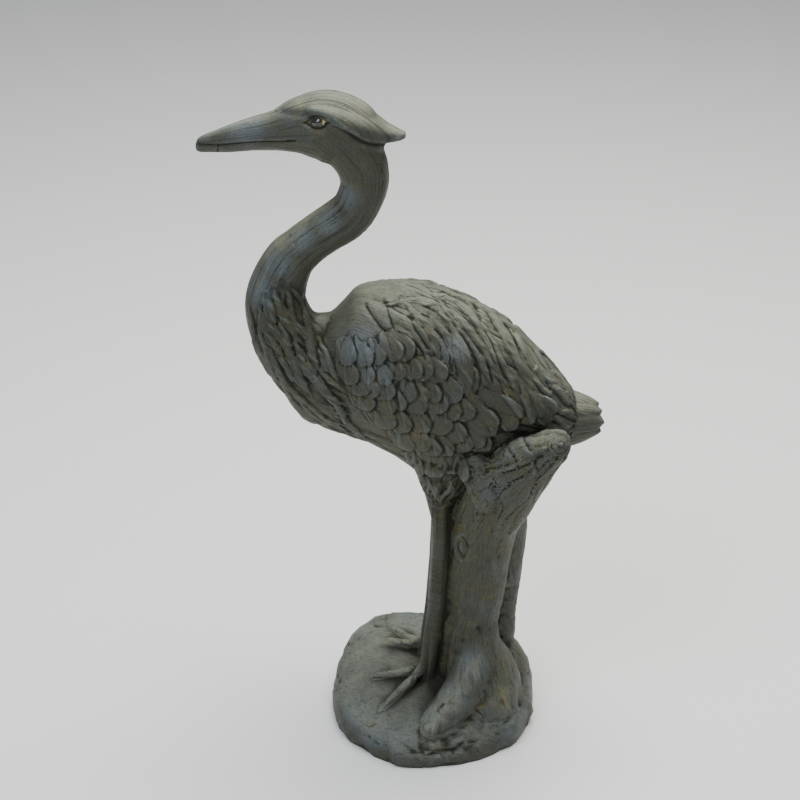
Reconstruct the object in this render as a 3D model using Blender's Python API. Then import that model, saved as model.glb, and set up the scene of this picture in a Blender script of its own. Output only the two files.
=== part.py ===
"""Garden statue: a heron standing beside a broken tree stump on a rock, cast in one piece."""
import itertools
import math

import bmesh
import bpy
import numpy as np
from mathutils import kdtree

# Driving sizes in metres
ROCK_LENGTH = 0.252
ROCK_DEPTH = 0.246
ROCK_HEIGHT = 0.058
FIGURE_HEIGHT = 0.743
LEG_WIDTH = 0.020
TOE_WIDTH = 0.012
CUT_END_WIDTH = 0.042

# How finely the casting is worked
GRAIN = 0.0022
SOFTENING_PASSES = 4
FACE_LIMIT = 9800
DETAIL_KEPT = 0.35
DETAIL_LEVELS = 10
CUT_ALLOWANCE = 0.012

# The figure is drawn 743 units tall. All its places and sizes are in those units, measured
# from the middle of the rock's top: x towards the tail, y towards the bird's right side, z up.
DRAWN_HEIGHT = 743.0
UNIT = FIGURE_HEIGHT / DRAWN_HEIGHT
LEG_RADIUS = LEG_WIDTH / 2 / UNIT
TOE_RADIUS = TOE_WIDTH / 2 / UNIT
CUT_RADIUS = CUT_END_WIDTH / 2 / UNIT

# Each row of a limb is x, y, z, half its depth in the plane it bends in, half its other width
HEAD = [(-261, 0, 684, 4, 3), (-257, 0, 684, 8, 5), (-246, 0, 687, 11, 7), (-225, 0, 691, 15, 9),
        (-198, 0, 697, 19, 11.5), (-171, 0, 701, 23.5, 15), (-146, 0, 706, 33, 21),
        (-122, 0, 706, 40, 26), (-98, 0, 699, 39, 27), (-78, 0, 690, 31, 25),
        (-64, 0, 686, 19, 17), (-58, 0, 685, 8, 8)]
CREST = [(-152, 0, 727, 5, 8), (-135, 0, 727, 11, 22), (-118, 0, 722, 16, 28),
         (-98, 0, 714, 19, 29.5), (-78, 0, 706, 17, 27), (-60, 0, 699, 12, 20),
         (-46, 0, 696, 8, 12), (-35, 0, 696, 3.5, 5)]
NECK = [(-116, 0, 706, 28, 22), (-98, 0, 690, 32, 26), (-85, 0, 668, 29, 27),
        (-80, 0, 648, 27, 26), (-82, 0, 632, 26, 25.5), (-91, 0, 611, 25, 25),
        (-104, 0, 598, 25.5, 24.5), (-125, 0, 584, 24.5, 24), (-145, 0, 569, 25, 24.5),
        (-163, 0, 551, 28, 26.5), (-176, 0, 524, 31.5, 29), (-180, 0, 498, 35, 32),
        (-172, 0, 467, 39.5, 36), (-158, 0, 443, 44, 40), (-137, 0, 420, 48, 44),
        (-108, 0, 404, 54, 49), (-70, 0, 398, 50, 46)]
BODY = [(-150, 0, 396, 30, 30), (-135, 0, 404, 55, 42), (-119, 0, 412, 70, 48),
        (-103, 0, 417, 83, 53), (-90, 0, 421, 93, 57), (-73, 0, 420, 99, 61),
        (-41, 0, 412, 111, 65), (-8, 0, 397, 121.5, 67), (20, 0, 387.25, 121.75, 67),
        (42, 0, 383.25, 115.25, 66), (71, 0, 380.25, 99.25, 62), (91, 0, 376.25, 86.75, 58),
        (109, 0, 370.25, 73.25, 52), (129, 0, 364, 59, 46), (146, 0, 357, 44, 38),
        (158, 0, 353, 31, 29), (165, 0, 350, 14, 16)]
TAIL = [(90, 0, 345, 34, 30), (130, 0, 348, 39, 32), (160, 0, 349, 34, 30),
        (176, 0, 351, 28, 27), (188, 0, 351, 20, 21), (193, 0, 350, 9, 12)]
BREAST_TUFT = [(-160, 0, 414, 20, 24), (-142, 0, 388, 30, 28), (-120, 0, 372, 30, 27),
               (-98, 0, 356, 25, 22), (-82, 0, 340, 16, 15), (-72, 0, 330, 7, 8)]
NEAR_THIGH = [(10, -22, 312, 38, 30), (8, -20, 286, 29, 24), (6, -16, 264, 19, 16),
              (5, -14, 246, 12, 11)]
FAR_THIGH = [(7, 14, 350, 30, 22), (5, 25, 302, 34, 28), (4, 31, 250, 20, 21),
             (4, 34, 222, 14, 14), (5, 34, 206, 11, 11), (5, 34, 198, 8, 8)]
TRUNK = [(46, 4, -22, 52, 46), (42, 2, 4, 42, 38), (40, 0, 32, 34, 34), (42, -2, 68, 33, 33),
         (48, -4, 101, 34.5, 33), (55, -8, 173, 37, 34), (61, -14, 221, 40, 35),
         (73, -26, 262, 43, 36), (90, -42, 296, 38, 33), (107, -54, 322, 31, 29),
         (123, -64, 343, 24, 23)]
CUT_END = (135, -70, 356)
BACK_STEM = [(80, 22, -22, 30, 26), (79, 22, 20, 20, 20), (83, 20, 52, 18, 18),
             (89, 20, 122, 18, 18), (93, 18, 196, 18, 18), (86, 4, 236, 20, 20)]
SNAG = [(44, -46, 322, 16, 15), (48, -56, 300, 19, 16), (53, -62, 280, 15, 12),
        (55, -61, 264, 8, 7)]
FRONT_ROOT = [(54, -8, 76, 24, 24), (54, -28, 36, 26, 27), (38, -52, 6, 25, 26),
              (14, -76, -16, 21, 23), (-10, -92, -32, 16, 19), (-30, -103, -45, 11, 13)]
FRONT_SKIRT = [(52, -10, 46, 32, 30), (57, -40, 6, 42, 24), (58, -66, -22, 46, 17),
               (56, -88, -44, 40, 9)]
BACK_ROOT = [(72, 12, 20, 28, 28), (94, 24, -12, 26, 26), (102, 30, -38, 18, 18)]
SIDE_ROOT = [(60, -10, 30, 30, 30), (78, -24, -4, 30, 30), (92, -36, -36, 20, 22)]
WEB = [(24, -8, 262, 20, 7), (22, -8, 160, 18, 6), (16, -8, 70, 18, 6), (10, -8, -4, 20, 8)]

# Legs: the height and the place along x, for both, and how far each stands to its side
LEG_LINE = [(262, 6), (181, 5.5), (109, 2.5), (51, -2.5), (10, -8)]
NEAR_LEG_SIDE = -14
FAR_LEG_SIDE = 34
ANKLE_SPREAD = 1.15
NEAR_TOES = [(-80, -12), (-62, -64)]
FAR_TOES = [(-66, 60), (-50, 84)]

# The rock's outline as shares of its half length and depth, by angle from the tail's side
ROCK_CORNERS = [(-180, 0.99), (-155, 1.01), (-132, 1.01), (-108, 1.055), (-79, 1.005),
                (-51, 0.98), (-37, 1.01), (-10, 0.98), (9, 1.0), (34, 1.07), (55, 1.13),
                (92, 1.07), (118, 1.2), (138, 1.12), (160, 1.0), (180, 0.99)]
# Its sides from below upwards: share of the outline, share of the height at the rim
ROCK_SIDES = [(0.985, 0.0), (1.0, 0.25), (0.99, 0.62), (0.955, 0.88), (0.89, 1.0)]
RIM_LOW_FRONT = 0.50
RIM_HIGH_BACK = 1.06
ROCK_CROWN = 0.97

# Rows of wing feathers: first tip x, z, middle tip x, z, last tip x, z, how many,
# half width, length, and the way they point in degrees below level, first and last
WING_ROWS = [(-18, 300, 8, 304, 34, 306, 4, 13, 40, 78, 62),
             (-34, 334, 8, 336, 56, 342, 6, 13, 44, 74, 54),
             (-54, 370, -14, 366, 30, 360, 5, 13.5, 44, 76, 56),
             (48, 350, 86, 368, 128, 372, 5, 11.5, 60, 52, 38),
             (52, 366, 92, 384, 136, 382, 5, 11, 58, 50, 40),
             (-72, 396, -16, 394, 40, 388, 7, 12.5, 38, 70, 52),
             (-84, 414, -36, 412, 22, 410, 7, 12, 34, 66, 50),
             (-90, 430, -44, 434, 8, 438, 7, 11, 30, 62, 46),
             (-92, 448, -60, 454, -24, 462, 5, 10.5, 27, 58, 46)]
FEATHER_LIFT = 5.0
FEATHER_EDGE = 0.14
FEATHER_ROUND_TIP = 0.42
FEATHER_ROOT_LIFT = 0.25
FEATHER_CROWN = 0.5
FEATHER_WANDER = 2.0
FEATHER_TURN = 5.0
WING_INNER_EDGE = (8, 22)
WING_LOW_EDGE = (-0.95, -0.55)

# Where the long back plumes end on the wing: x and z
PLUME_HEM = [(-125, 500), (-96, 496), (-60, 484), (-20, 462), (20, 432), (60, 412), (120, 388),
             (170, 380)]
PLUME_RELIEF = 2.6
PLUME_LEVEL = 0.3
PLUME_STROKE = (15, 95)
PLUME_FINE_STROKE = (8, 60)
PLUME_GROOVE = 0.16
HEM_RAGGED = 8
HEM_GRAIN = 9
HEM_SOFT = 3
# How the plumes sweep down as they run back: where from, how far, over what run, and a slope
BODY_GIRTH = 88
SWEEP_START = -130
SWEEP_DROP = 62
SWEEP_RUN = 70
SWEEP_SLOPE = 0.18
SWEEP_WARP = 7
SWEEP_WARP_GRAIN = (46, 30)
BELLY_RELIEF = 1.3
BELLY_SLANT = 0.35
BELLY_STROKE = (9, 50)
NECK_GIRTH = 30
NECK_TWIST = 0.1
NECK_STROKE = (11, 120)
NECK_GROOVE = 0.15
BREAST_RUN = (230, 330)
BREAST_STROKE = (7, 45)
BREAST_GROOVE = 0.16
NECK_RELIEF = 1.2
BREAST_RELIEF = 3.0
THIGH_MIDDLE = (5, 10)
THIGH_GIRTH = 24
THIGH_STROKE = (7, 40)
THIGH_RELIEF = 2.2
BARK_MIDDLE = (50, -10)
BARK_GIRTH = 34
BARK_STROKE = (10, 70)
BARK_GROOVE = 0.14
BARK_FOLD = (22, 22, 16)
BARK_RELIEF = 1.8
ROCK_LUMP = (38, 38, 26)
ROCK_CHIP = (15, 15, 11)
ROCK_ROUGH_FROM = (70, 115)
ROCK_RELIEF = 2.6

# Where the wings and the head begin, which keep finer faces than the rest
WING_OUT = (18, 30)
WING_FRONT = (-125, -105)
WING_BACK = (150, 130)
WING_BOTTOM = (270, 290)
HEAD_BOTTOM = (650, 670)

EYE = (-127, 718)
EYE_HALF_LENGTH = 7.5
EYE_HALF_HEIGHT = 4.6
EYE_BULGE = 3.0
EYE_SOCKET = 2.4
MOUTH = [(-262, 683), (-237, 684), (-200, 687), (-154, 691)]
MOUTH_WIDTH = 2.2
MOUTH_DEPTH = 2.4
KNOT = (31, 205)
KNOT_RADIUS = 10.0
KNOT_TALL = 1.35
KNOT_RIM = 2.6
KNOT_DEPTH = 6
KNOT_FACES = (0, -18)


def clear_scene():
    """Empty the scene that the script starts in."""
    for item in list(bpy.data.objects):
        bpy.data.objects.remove(item)


def smooth_path(points, steps):
    """Points on a smooth curve through the given rows, of any number of columns."""
    rows = np.array(points, dtype=float)
    ends = np.vstack([2 * rows[0] - rows[1], rows, 2 * rows[-1] - rows[-2]])
    found = []
    for index in range(1, len(ends) - 2):
        before, start, end, after = ends[index - 1:index + 3]
        for step in range(steps):
            part = step / steps
            found.append(0.5 * (2 * start + (end - before) * part
                                + (2 * before - 5 * start + 4 * end - after) * part ** 2
                                + (3 * start - before - 3 * end + after) * part ** 3))
    found.append(rows[-1])
    return np.array(found)


def soft_noise(places, seed):
    """Smooth noise from -1 to 1 at rows of three numbers, the same on every run."""
    cell = np.floor(places).astype(np.int64)
    part = places - cell
    blend = part * part * (3 - 2 * part)
    total = np.zeros(len(places))
    for corner in itertools.product((0, 1), repeat=3):
        key = cell + np.array(corner)
        mixed = key[:, 0] * 73856093 ^ key[:, 1] * 19349663 ^ key[:, 2] * 83492791 ^ seed * 2654435
        mixed = (mixed ^ (mixed >> 13)) * 1274126177 & 0x7FFFFFFF
        mixed = (mixed ^ (mixed >> 15)) * 668265263 & 0x7FFFFFFF
        weight = np.prod(np.where(corner, blend, 1 - blend), axis=1)
        total += weight * (mixed / 0x3FFFFFFF - 1)
    return total


def stretched_noise(first, second, third, seed):
    """Noise read at three columns that have each been divided by their own grain."""
    return soft_noise(np.column_stack([first, second, third]), seed)


def ease(low, high, value):
    """Rise smoothly from 0 at low to 1 at high."""
    share = np.clip((value - low) / (high - low), 0, 1)
    return share * share * (3 - 2 * share)


def shell_mesh(name, rings):
    """A closed mesh from rings of equal length, with its two ends closed to their middles."""
    mesh = bpy.data.meshes.new(name)
    work = bmesh.new()
    loops = [[work.verts.new(point) for point in ring] for ring in rings]
    count = len(loops[0])
    for low, high in zip(loops, loops[1:]):
        for index in range(count):
            after = (index + 1) % count
            work.faces.new((low[index], low[after], high[after], high[index]))
    for loop in (loops[0], loops[-1]):
        middle = work.verts.new(sum((v.co for v in loop), start=loop[0].co * 0) / count)
        for index in range(count):
            work.faces.new((loop[index], loop[(index + 1) % count], middle))
    bmesh.ops.recalc_face_normals(work, faces=work.faces)
    work.to_mesh(mesh)
    work.free()
    return mesh


def limb(name, stations, broad_top=0.0, upright=False, steps=6, sides=40):
    """A rounded limb along a bending line. Its rings stand square to the line, or upright."""
    path = smooth_path(stations, steps)
    spots = path[:, :3]
    ways = np.gradient(spots, axis=0)
    if upright:
        ways = np.tile([1.0, 0.0, 0.0], (len(spots), 1))
    ways /= np.linalg.norm(ways, axis=1)[:, None]
    across = np.array([0.0, 1.0, 0.0]) - ways[:, 1:2] * ways
    across /= np.linalg.norm(across, axis=1)[:, None]
    depth = np.cross(across, ways)
    turn = np.linspace(0, 2 * math.pi, sides, endpoint=False)
    rings = []
    for spot, side, up, sizes in zip(spots, across, depth, path[:, 3:5]):
        rise = np.cos(turn)[:, None] * up * sizes[0]
        swell = 1 + broad_top * np.cos(turn) * np.sign(up[2])
        spread = (np.sin(turn) * swell)[:, None] * side * sizes[1]
        rings.append(to_world(spot + rise + spread))
    return shell_mesh(name, rings)


def to_world(places):
    """Turn drawn places into metres above the ground."""
    return places * UNIT + np.array([0, 0, ROCK_HEIGHT])


def to_drawn(places):
    """Turn metres above the ground into drawn places."""
    return (places - np.array([0, 0, ROCK_HEIGHT])) / UNIT


def rock_reach(angle):
    """How far the rock's outline reaches at an angle, as a share of its half size."""
    return np.interp(np.degrees(angle), *zip(*ROCK_CORNERS))


def rim_share(angle):
    """The rim's height as a share of the rock's: low in front and high behind."""
    back = (1 + np.sin(angle)) / 2
    return RIM_LOW_FRONT + (RIM_HIGH_BACK - RIM_LOW_FRONT) * back


def rock_top(x, y):
    """The height of the rock's upper face in metres, at a place in metres."""
    angle = np.arctan2(y / ROCK_DEPTH, x / ROCK_LENGTH)
    reach = np.hypot(2 * x / ROCK_LENGTH, 2 * y / ROCK_DEPTH) / rock_reach(angle)
    share = np.clip(reach / ROCK_SIDES[-1][0], 0, 1) ** 2.2
    rim = rim_share(angle)
    return ROCK_HEIGHT * (ROCK_CROWN + (rim - ROCK_CROWN) * share)


def rock():
    """The rock, with an allowance below the ground that is cut off at the end."""
    angles = np.linspace(-math.pi, math.pi, 72, endpoint=False)
    half = np.column_stack([np.cos(angles) * ROCK_LENGTH, np.sin(angles) * ROCK_DEPTH]) / 2
    outline = half * rock_reach(angles)[:, None]
    rings = [np.column_stack([outline * 0.97, np.full(len(angles), -CUT_ALLOWANCE)])]
    for share, height in ROCK_SIDES:
        rings.append(np.column_stack([outline * share, rim_share(angles) * height * ROCK_HEIGHT]))
    for share in (0.75, 0.55, 0.35, 0.12):
        flat = outline * share
        rings.append(np.column_stack([flat, rock_top(flat[:, 0], flat[:, 1])]))
    return shell_mesh("rock", rings)


def legs():
    """Both shanks, each with a slightly thicker ankle."""
    made = []
    for label, side in (("near_leg", NEAR_LEG_SIDE), ("far_leg", FAR_LEG_SIDE)):
        rows = [(x, side, z, LEG_RADIUS, LEG_RADIUS) for z, x in LEG_LINE]
        low_z, low_x = LEG_LINE[-1]
        foot = rock_top(low_x * UNIT, side * UNIT)
        foot_z = (foot - ROCK_HEIGHT) / UNIT
        wide = LEG_RADIUS * ANKLE_SPREAD
        rows.append((low_x - 3, side, foot_z - 4, wide, wide))
        made.append(limb(label, rows))
    return made


def toes():
    """Toes that run out from each ankle over the rock, with a knuckle and a claw's point."""
    made = []
    for side, tips in ((NEAR_LEG_SIDE, NEAR_TOES), (FAR_LEG_SIDE, FAR_TOES)):
        start = np.array([LEG_LINE[-1][1] - 4, side])
        for tip_x, tip_y in tips:
            rows = []
            for share, thick in ((0, 1.25), (0.25, 1.0), (0.5, 1.1), (0.75, 0.8), (0.93, 0.65),
                                 (1.0, 0.3)):
                x, y = start + (np.array([tip_x, tip_y]) - start) * share
                ground = (rock_top(x * UNIT, y * UNIT) - ROCK_HEIGHT) / UNIT
                lift = TOE_RADIUS * (0.75 - 0.6 * share) + 9 * (1 - share) ** 3
                rows.append((x, y, ground + lift, TOE_RADIUS * thick, TOE_RADIUS * thick))
            made.append(limb("toe", rows, sides=20))
    return made


def trunk():
    """The stump's stem, which leans out and ends in a sawn branch."""
    rows = TRUNK + [(*CUT_END, CUT_RADIUS, CUT_RADIUS)]
    return limb("trunk", rows)


def gathered_shells():
    """Every rounded form of the casting, by the group whose carving it takes."""
    return {
        "head": [limb("head", HEAD), limb("crest", CREST)],
        "neck": [limb("neck", NECK)],
        "body": [limb("body", BODY, broad_top=0.18, upright=True, sides=64),
                 limb("tail", TAIL, upright=True)],
        "tuft": [limb("breast_tuft", BREAST_TUFT)],
        "thigh": [limb("near_thigh", NEAR_THIGH), limb("far_thigh", FAR_THIGH)],
        "leg": legs(),
        "toe": toes(),
        "wood": [trunk(), limb("back_stem", BACK_STEM), limb("snag", SNAG), limb("web", WEB),
                 limb("front_root", FRONT_ROOT), limb("front_skirt", FRONT_SKIRT),
                 limb("back_root", BACK_ROOT), limb("side_root", SIDE_ROOT)],
        "rock": [rock()],
    }


def fuse(groups):
    """Run all the rounded forms together into one skin, and soften where they meet."""
    joined = bmesh.new()
    for meshes in groups.values():
        for mesh in meshes:
            joined.from_mesh(mesh)
    mesh = bpy.data.meshes.new("joined")
    joined.to_mesh(mesh)
    joined.free()
    holder = bpy.data.objects.new("joined", mesh)
    bpy.context.collection.objects.link(holder)
    skin = holder.modifiers.new("one_skin", "REMESH")
    skin.mode = "VOXEL"
    skin.voxel_size = GRAIN
    soften = holder.modifiers.new("soften", "SMOOTH")
    soften.factor = 0.5
    soften.iterations = SOFTENING_PASSES
    skinned = mesh_as_shown(holder)
    bpy.data.objects.remove(holder)
    return skinned


def mesh_as_shown(holder):
    """A plain mesh of an object with its modifiers applied."""
    graph = bpy.context.evaluated_depsgraph_get()
    graph.update()
    return bpy.data.meshes.new_from_object(holder.evaluated_get(graph))


def group_of_each(places, groups):
    """Which group each place lies nearest to."""
    names = list(groups)
    total = sum(len(mesh.vertices) for meshes in groups.values() for mesh in meshes)
    tree = kdtree.KDTree(total)
    labels = []
    for number, name in enumerate(names):
        for mesh in groups[name]:
            for vertex in mesh.vertices:
                tree.insert(vertex.co, len(labels))
                labels.append(number)
    tree.balance()
    found = np.array([labels[tree.find(place)[1]] for place in places])
    return {name: found == number for number, name in enumerate(names)}


def body_angle(places):
    """The angle round the body from its back, in radians, at each place."""
    path = smooth_path(BODY, 6)
    centre = np.interp(places[:, 0], path[:, 0], path[:, 2])
    tall = np.interp(places[:, 0], path[:, 0], path[:, 3])
    wide = np.interp(places[:, 0], path[:, 0], path[:, 4])
    return np.arctan2(np.abs(places[:, 1]) / wide, (places[:, 2] - centre) / tall)


def neck_place(places):
    """How far along the neck each place is, and the angle round it from its front."""
    path = smooth_path(HEAD[4:8] + NECK[2:], 8)
    spots = path[:, :3]
    ways = np.gradient(spots, axis=0)
    ways /= np.linalg.norm(ways, axis=1)[:, None]
    run = np.concatenate([[0], np.cumsum(np.linalg.norm(np.diff(spots, axis=0), axis=1))])
    flat = places[:, [0, 2]]
    gaps = ((flat[:, None, :] - spots[None, :, [0, 2]]) ** 2).sum(axis=2)
    near = gaps.argmin(axis=1)
    offset = flat - spots[near][:, [0, 2]]
    front = offset[:, 0] * ways[near][:, 2] - offset[:, 1] * ways[near][:, 0]
    return run[near], np.arctan2(np.abs(places[:, 1]), front)


def crease(noise, width):
    """Narrow grooves where the noise passes through nought, 1 deep in their middle."""
    return np.exp(-(noise / width) ** 2)


def feather_rows(places):
    """The height of the wing's overlapping feathers over the body, both sides alike."""
    height = np.zeros(len(places))
    x, z = places[:, 0], places[:, 2]
    wander = np.random.default_rng(7)
    for x0, z0, x1, z1, x2, z2, count, half, length, first, last in WING_ROWS:
        for index in range(count):
            share = index / (count - 1)
            bend = 4 * share * (1 - share)
            tip_x = x0 + (x2 - x0) * share + (x1 - (x0 + x2) / 2) * bend
            tip_z = z0 + (z2 - z0) * share + (z1 - (z0 + z2) / 2) * bend
            tip_x += wander.uniform(-FEATHER_WANDER, FEATHER_WANDER)
            tip_z += wander.uniform(-FEATHER_WANDER, FEATHER_WANDER)
            lean = first + (last - first) * share + wander.uniform(-FEATHER_TURN, FEATHER_TURN)
            down, level = math.sin(math.radians(lean)), math.cos(math.radians(lean))
            along = ((x - tip_x) * level - (z - tip_z) * down) / length + 1
            beside = ((x - tip_x) * down + (z - tip_z) * level) / half
            round_end = np.clip((along - 1) / FEATHER_ROUND_TIP + 1, 0, 1)
            edge = np.sqrt(np.clip(1 - round_end ** 2, 0, 1)) - np.abs(beside)
            inside = ease(0, FEATHER_EDGE, edge) * (along > 0) * (along < 1)
            rise = FEATHER_ROOT_LIFT + (1 - FEATHER_ROOT_LIFT) * along
            rise = FEATHER_LIFT * rise * (1 - FEATHER_CROWN * beside ** 2)
            height = np.maximum(height, inside * rise)
    return height


def body_carving(places):
    """Feather rows on the wings, and long plumes that sweep back over them."""
    x, y, z = places.T
    angle = body_angle(places)
    arc = angle * BODY_GIRTH
    back = x - SWEEP_START
    drop = SWEEP_DROP * (1 - np.exp(-back / SWEEP_RUN)) + SWEEP_SLOPE * back
    wide, long = SWEEP_WARP_GRAIN
    warp = stretched_noise(x / wide, arc / long, z * 0, 3)
    across = arc - drop + SWEEP_WARP * warp
    ragged = stretched_noise(x / HEM_GRAIN, z * 0, z * 0, 5)
    hem = np.interp(x, *zip(*PLUME_HEM)) + HEM_RAGGED * ragged
    over = ease(-HEM_SOFT, HEM_SOFT, z - hem)
    wide, long = PLUME_STROKE
    broad = stretched_noise(across / wide, x / long, np.sign(y), 11)
    wide, long = PLUME_FINE_STROKE
    fine = stretched_noise(across / wide, x / long, np.sign(y), 12)
    plumes = PLUME_RELIEF * (PLUME_LEVEL + broad + 0.4 * fine - 1.1 * crease(broad, PLUME_GROOVE))
    below = ease(*WING_LOW_EDGE, np.cos(angle))
    feathers = feather_rows(places) * below * ease(*WING_INNER_EDGE, np.abs(y))
    wide, long = BELLY_STROKE
    belly = stretched_noise((z + BELLY_SLANT * x) / wide, (x - z) / long, z * 0, 17)
    return over * plumes + (1 - over) * (feathers + (1 - below) * BELLY_RELIEF * belly)


def neck_carving(places):
    """Long soft streaks down the neck that grow into the breast's loose plumes."""
    run, angle = neck_place(places)
    arc = angle * NECK_GIRTH + NECK_TWIST * run
    deep = ease(*BREAST_RUN, run)
    wide, long = NECK_STROKE
    streak = stretched_noise(arc / wide, run / long, run * 0, 21)
    wide, long = BREAST_STROKE
    fine = stretched_noise(arc / wide, run / long, run * 0, 22)
    gentle = NECK_RELIEF * (streak - 0.8 * crease(streak, NECK_GROOVE))
    loose = BREAST_RELIEF * (0.6 * streak + 0.5 * fine - 0.7 * crease(fine, BREAST_GROOVE))
    return gentle * (1 - deep) + loose * deep


def line_distance(x, z, points):
    """How far each place is from an open line of straight runs, in side view."""
    best = np.full(len(x), 1e9)
    for (ax, az), (bx, bz) in zip(points, points[1:]):
        run = np.array([bx - ax, bz - az])
        share = ((x - ax) * run[0] + (z - az) * run[1]) / (run @ run)
        share = np.clip(share, 0, 1)
        best = np.minimum(best, np.hypot(x - ax - run[0] * share, z - az - run[1] * share))
    return best


def head_carving(places):
    """The mouth's line, and an eye in a shallow socket under the brow."""
    x, y, z = places.T
    side = ease(1.0, 3.0, np.abs(y))
    mouth = np.exp(-(line_distance(x, z, MOUTH) / MOUTH_WIDTH) ** 2)
    ring = np.hypot((x - EYE[0]) / EYE_HALF_LENGTH, (z - EYE[1]) / EYE_HALF_HEIGHT)
    ball = np.clip(1 - ring ** 2, 0, 1)
    socket = np.exp(-((ring - 1.3) / 0.4) ** 2)
    return side * (EYE_BULGE * ball - EYE_SOCKET * socket - MOUTH_DEPTH * mouth)


def wood_carving(places):
    """Bark that runs up the stump, and a knot with its hollow."""
    x, y, z = places.T
    turn = np.arctan2(y - BARK_MIDDLE[1], x - BARK_MIDDLE[0]) * BARK_GIRTH
    wide, long = BARK_STROKE
    grain = stretched_noise(turn / wide, z / long, x * 0, 31)
    folds = soft_noise(places / BARK_FOLD, 32)
    ring = np.hypot(x - KNOT[0], (z - KNOT[1]) / KNOT_TALL) / KNOT_RADIUS
    rim = KNOT_RIM * np.exp(-((ring - 1.1) / 0.45) ** 2)
    knot = ease(*KNOT_FACES, y) * (rim - KNOT_DEPTH * np.exp(-(ring / 0.6) ** 2))
    return BARK_RELIEF * (grain - 0.7 * crease(grain, BARK_GROOVE) + 0.5 * folds) + knot


def rock_carving(places):
    """Broken lumps and ledges, rougher round the rim than where the feet stand."""
    reach = np.hypot(places[:, 0], places[:, 1])
    lumps = soft_noise(places / ROCK_LUMP, 41)
    chips = soft_noise(places / ROCK_CHIP, 42)
    rough = 0.45 + 0.75 * ease(*ROCK_ROUGH_FROM, reach)
    return ROCK_RELIEF * rough * (1.1 * lumps + 0.7 * chips)


def thigh_carving(places):
    """Loose locks that hang down to the shank."""
    x, y, z = places.T
    turn = np.arctan2(y - THIGH_MIDDLE[1], x - THIGH_MIDDLE[0]) * THIGH_GIRTH
    wide, long = THIGH_STROKE
    return THIGH_RELIEF * stretched_noise(turn / wide, z / long, x * 0, 51)


CARVINGS = {"head": head_carving, "neck": neck_carving, "body": body_carving,
            "tuft": neck_carving, "thigh": thigh_carving, "wood": wood_carving,
            "rock": rock_carving}


def carve(mesh, groups):
    """Push each point of the skin in or out along its normal by its group's carving."""
    count = len(mesh.vertices)
    places = np.empty(count * 3)
    mesh.vertices.foreach_get("co", places)
    places = places.reshape(count, 3)
    normals = np.empty(count * 3)
    mesh.vertices.foreach_get("normal", normals)
    normals = normals.reshape(count, 3)
    drawn = to_drawn(places)
    depth = np.zeros(count)
    for name, chosen in group_of_each(places, groups).items():
        if name in CARVINGS and chosen.any():
            depth[chosen] = CARVINGS[name](drawn[chosen])
    depth = evened(mesh, depth)
    places += normals * (depth * UNIT)[:, None]
    mesh.vertices.foreach_set("co", places.ravel())
    mesh.update()


def evened(mesh, values):
    """Blend each point's value a little with its neighbours'."""
    edges = np.empty(len(mesh.edges) * 2, dtype=np.int64)
    mesh.edges.foreach_get("vertices", edges)
    first, second = edges.reshape(-1, 2).T
    total = np.bincount(first, values[second], len(values))
    total += np.bincount(second, values[first], len(values))
    near = np.bincount(first, minlength=len(values)) + np.bincount(second, minlength=len(values))
    return 0.6 * values + 0.4 * total / near


def thin_out(mesh):
    """The same skin with no more faces than its limit, largest where it is plain."""
    holder = bpy.data.objects.new("carved", mesh)
    bpy.context.collection.objects.link(holder)
    plain = holder.vertex_groups.new(name="plain")
    places = np.array([vertex.co for vertex in mesh.vertices])
    drawn = to_drawn(places)
    detail = ease(*WING_OUT, np.abs(drawn[:, 1])) * ease(*WING_FRONT, drawn[:, 0])
    detail *= ease(*WING_BACK, drawn[:, 0]) * ease(*WING_BOTTOM, drawn[:, 2])
    detail = np.maximum(detail, ease(*HEAD_BOTTOM, drawn[:, 2]))
    for level in range(DETAIL_LEVELS + 1):
        chosen = np.flatnonzero(np.round(detail * DETAIL_LEVELS) == level)
        plain.add(chosen.tolist(), 1 - level / DETAIL_LEVELS * DETAIL_KEPT, "REPLACE")
    fewer = holder.modifiers.new("fewer_faces", "DECIMATE")
    fewer.ratio = FACE_LIMIT / (2 * len(mesh.polygons))
    fewer.vertex_group = "plain"
    fewer.vertex_group_factor = 1.0
    fewer.use_collapse_triangulate = True
    thinned = mesh_as_shown(holder)
    bpy.data.objects.remove(holder)
    return thinned


def drop_slivers(work):
    """Delete the stray faces that thinning can pinch off, and keep the largest shell."""
    left = set(work.faces)
    shells = []
    while left:
        shell = [left.pop()]
        for face in shell:
            for edge in face.edges:
                near = [other for other in edge.link_faces if other in left]
                shell += near
                left.difference_update(near)
        shells.append(shell)
    largest = max(shells, key=len)
    stray = [face for shell in shells if shell is not largest for face in shell]
    bmesh.ops.delete(work, geom=stray, context="FACES")


def cut_flat(mesh):
    """Saw the underside off flat at the ground."""
    work = bmesh.new()
    work.from_mesh(mesh)
    drop_slivers(work)
    parts = work.verts[:] + work.edges[:] + work.faces[:]
    cut = bmesh.ops.bisect_plane(work, geom=parts, plane_co=(0, 0, 0), plane_no=(0, 0, 1),
                                 clear_inner=True)
    rim = [item for item in cut["geom_cut"] if isinstance(item, bmesh.types.BMEdge)]
    filled = bmesh.ops.holes_fill(work, edges=rim, sides=0)
    bmesh.ops.triangulate(work, faces=filled["faces"])
    bmesh.ops.recalc_face_normals(work, faces=work.faces)
    work.to_mesh(mesh)
    work.free()


def cast_stone():
    """Cast stone with a dark grey-green finish."""
    material = bpy.data.materials.new("cast_stone")
    material.use_nodes = True
    shader = material.node_tree.nodes["Principled BSDF"]
    shader.inputs["Base Color"].default_value = (0.085, 0.095, 0.075, 1)
    shader.inputs["Roughness"].default_value = 0.62
    shader.inputs["Metallic"].default_value = 0.0
    return material


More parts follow.
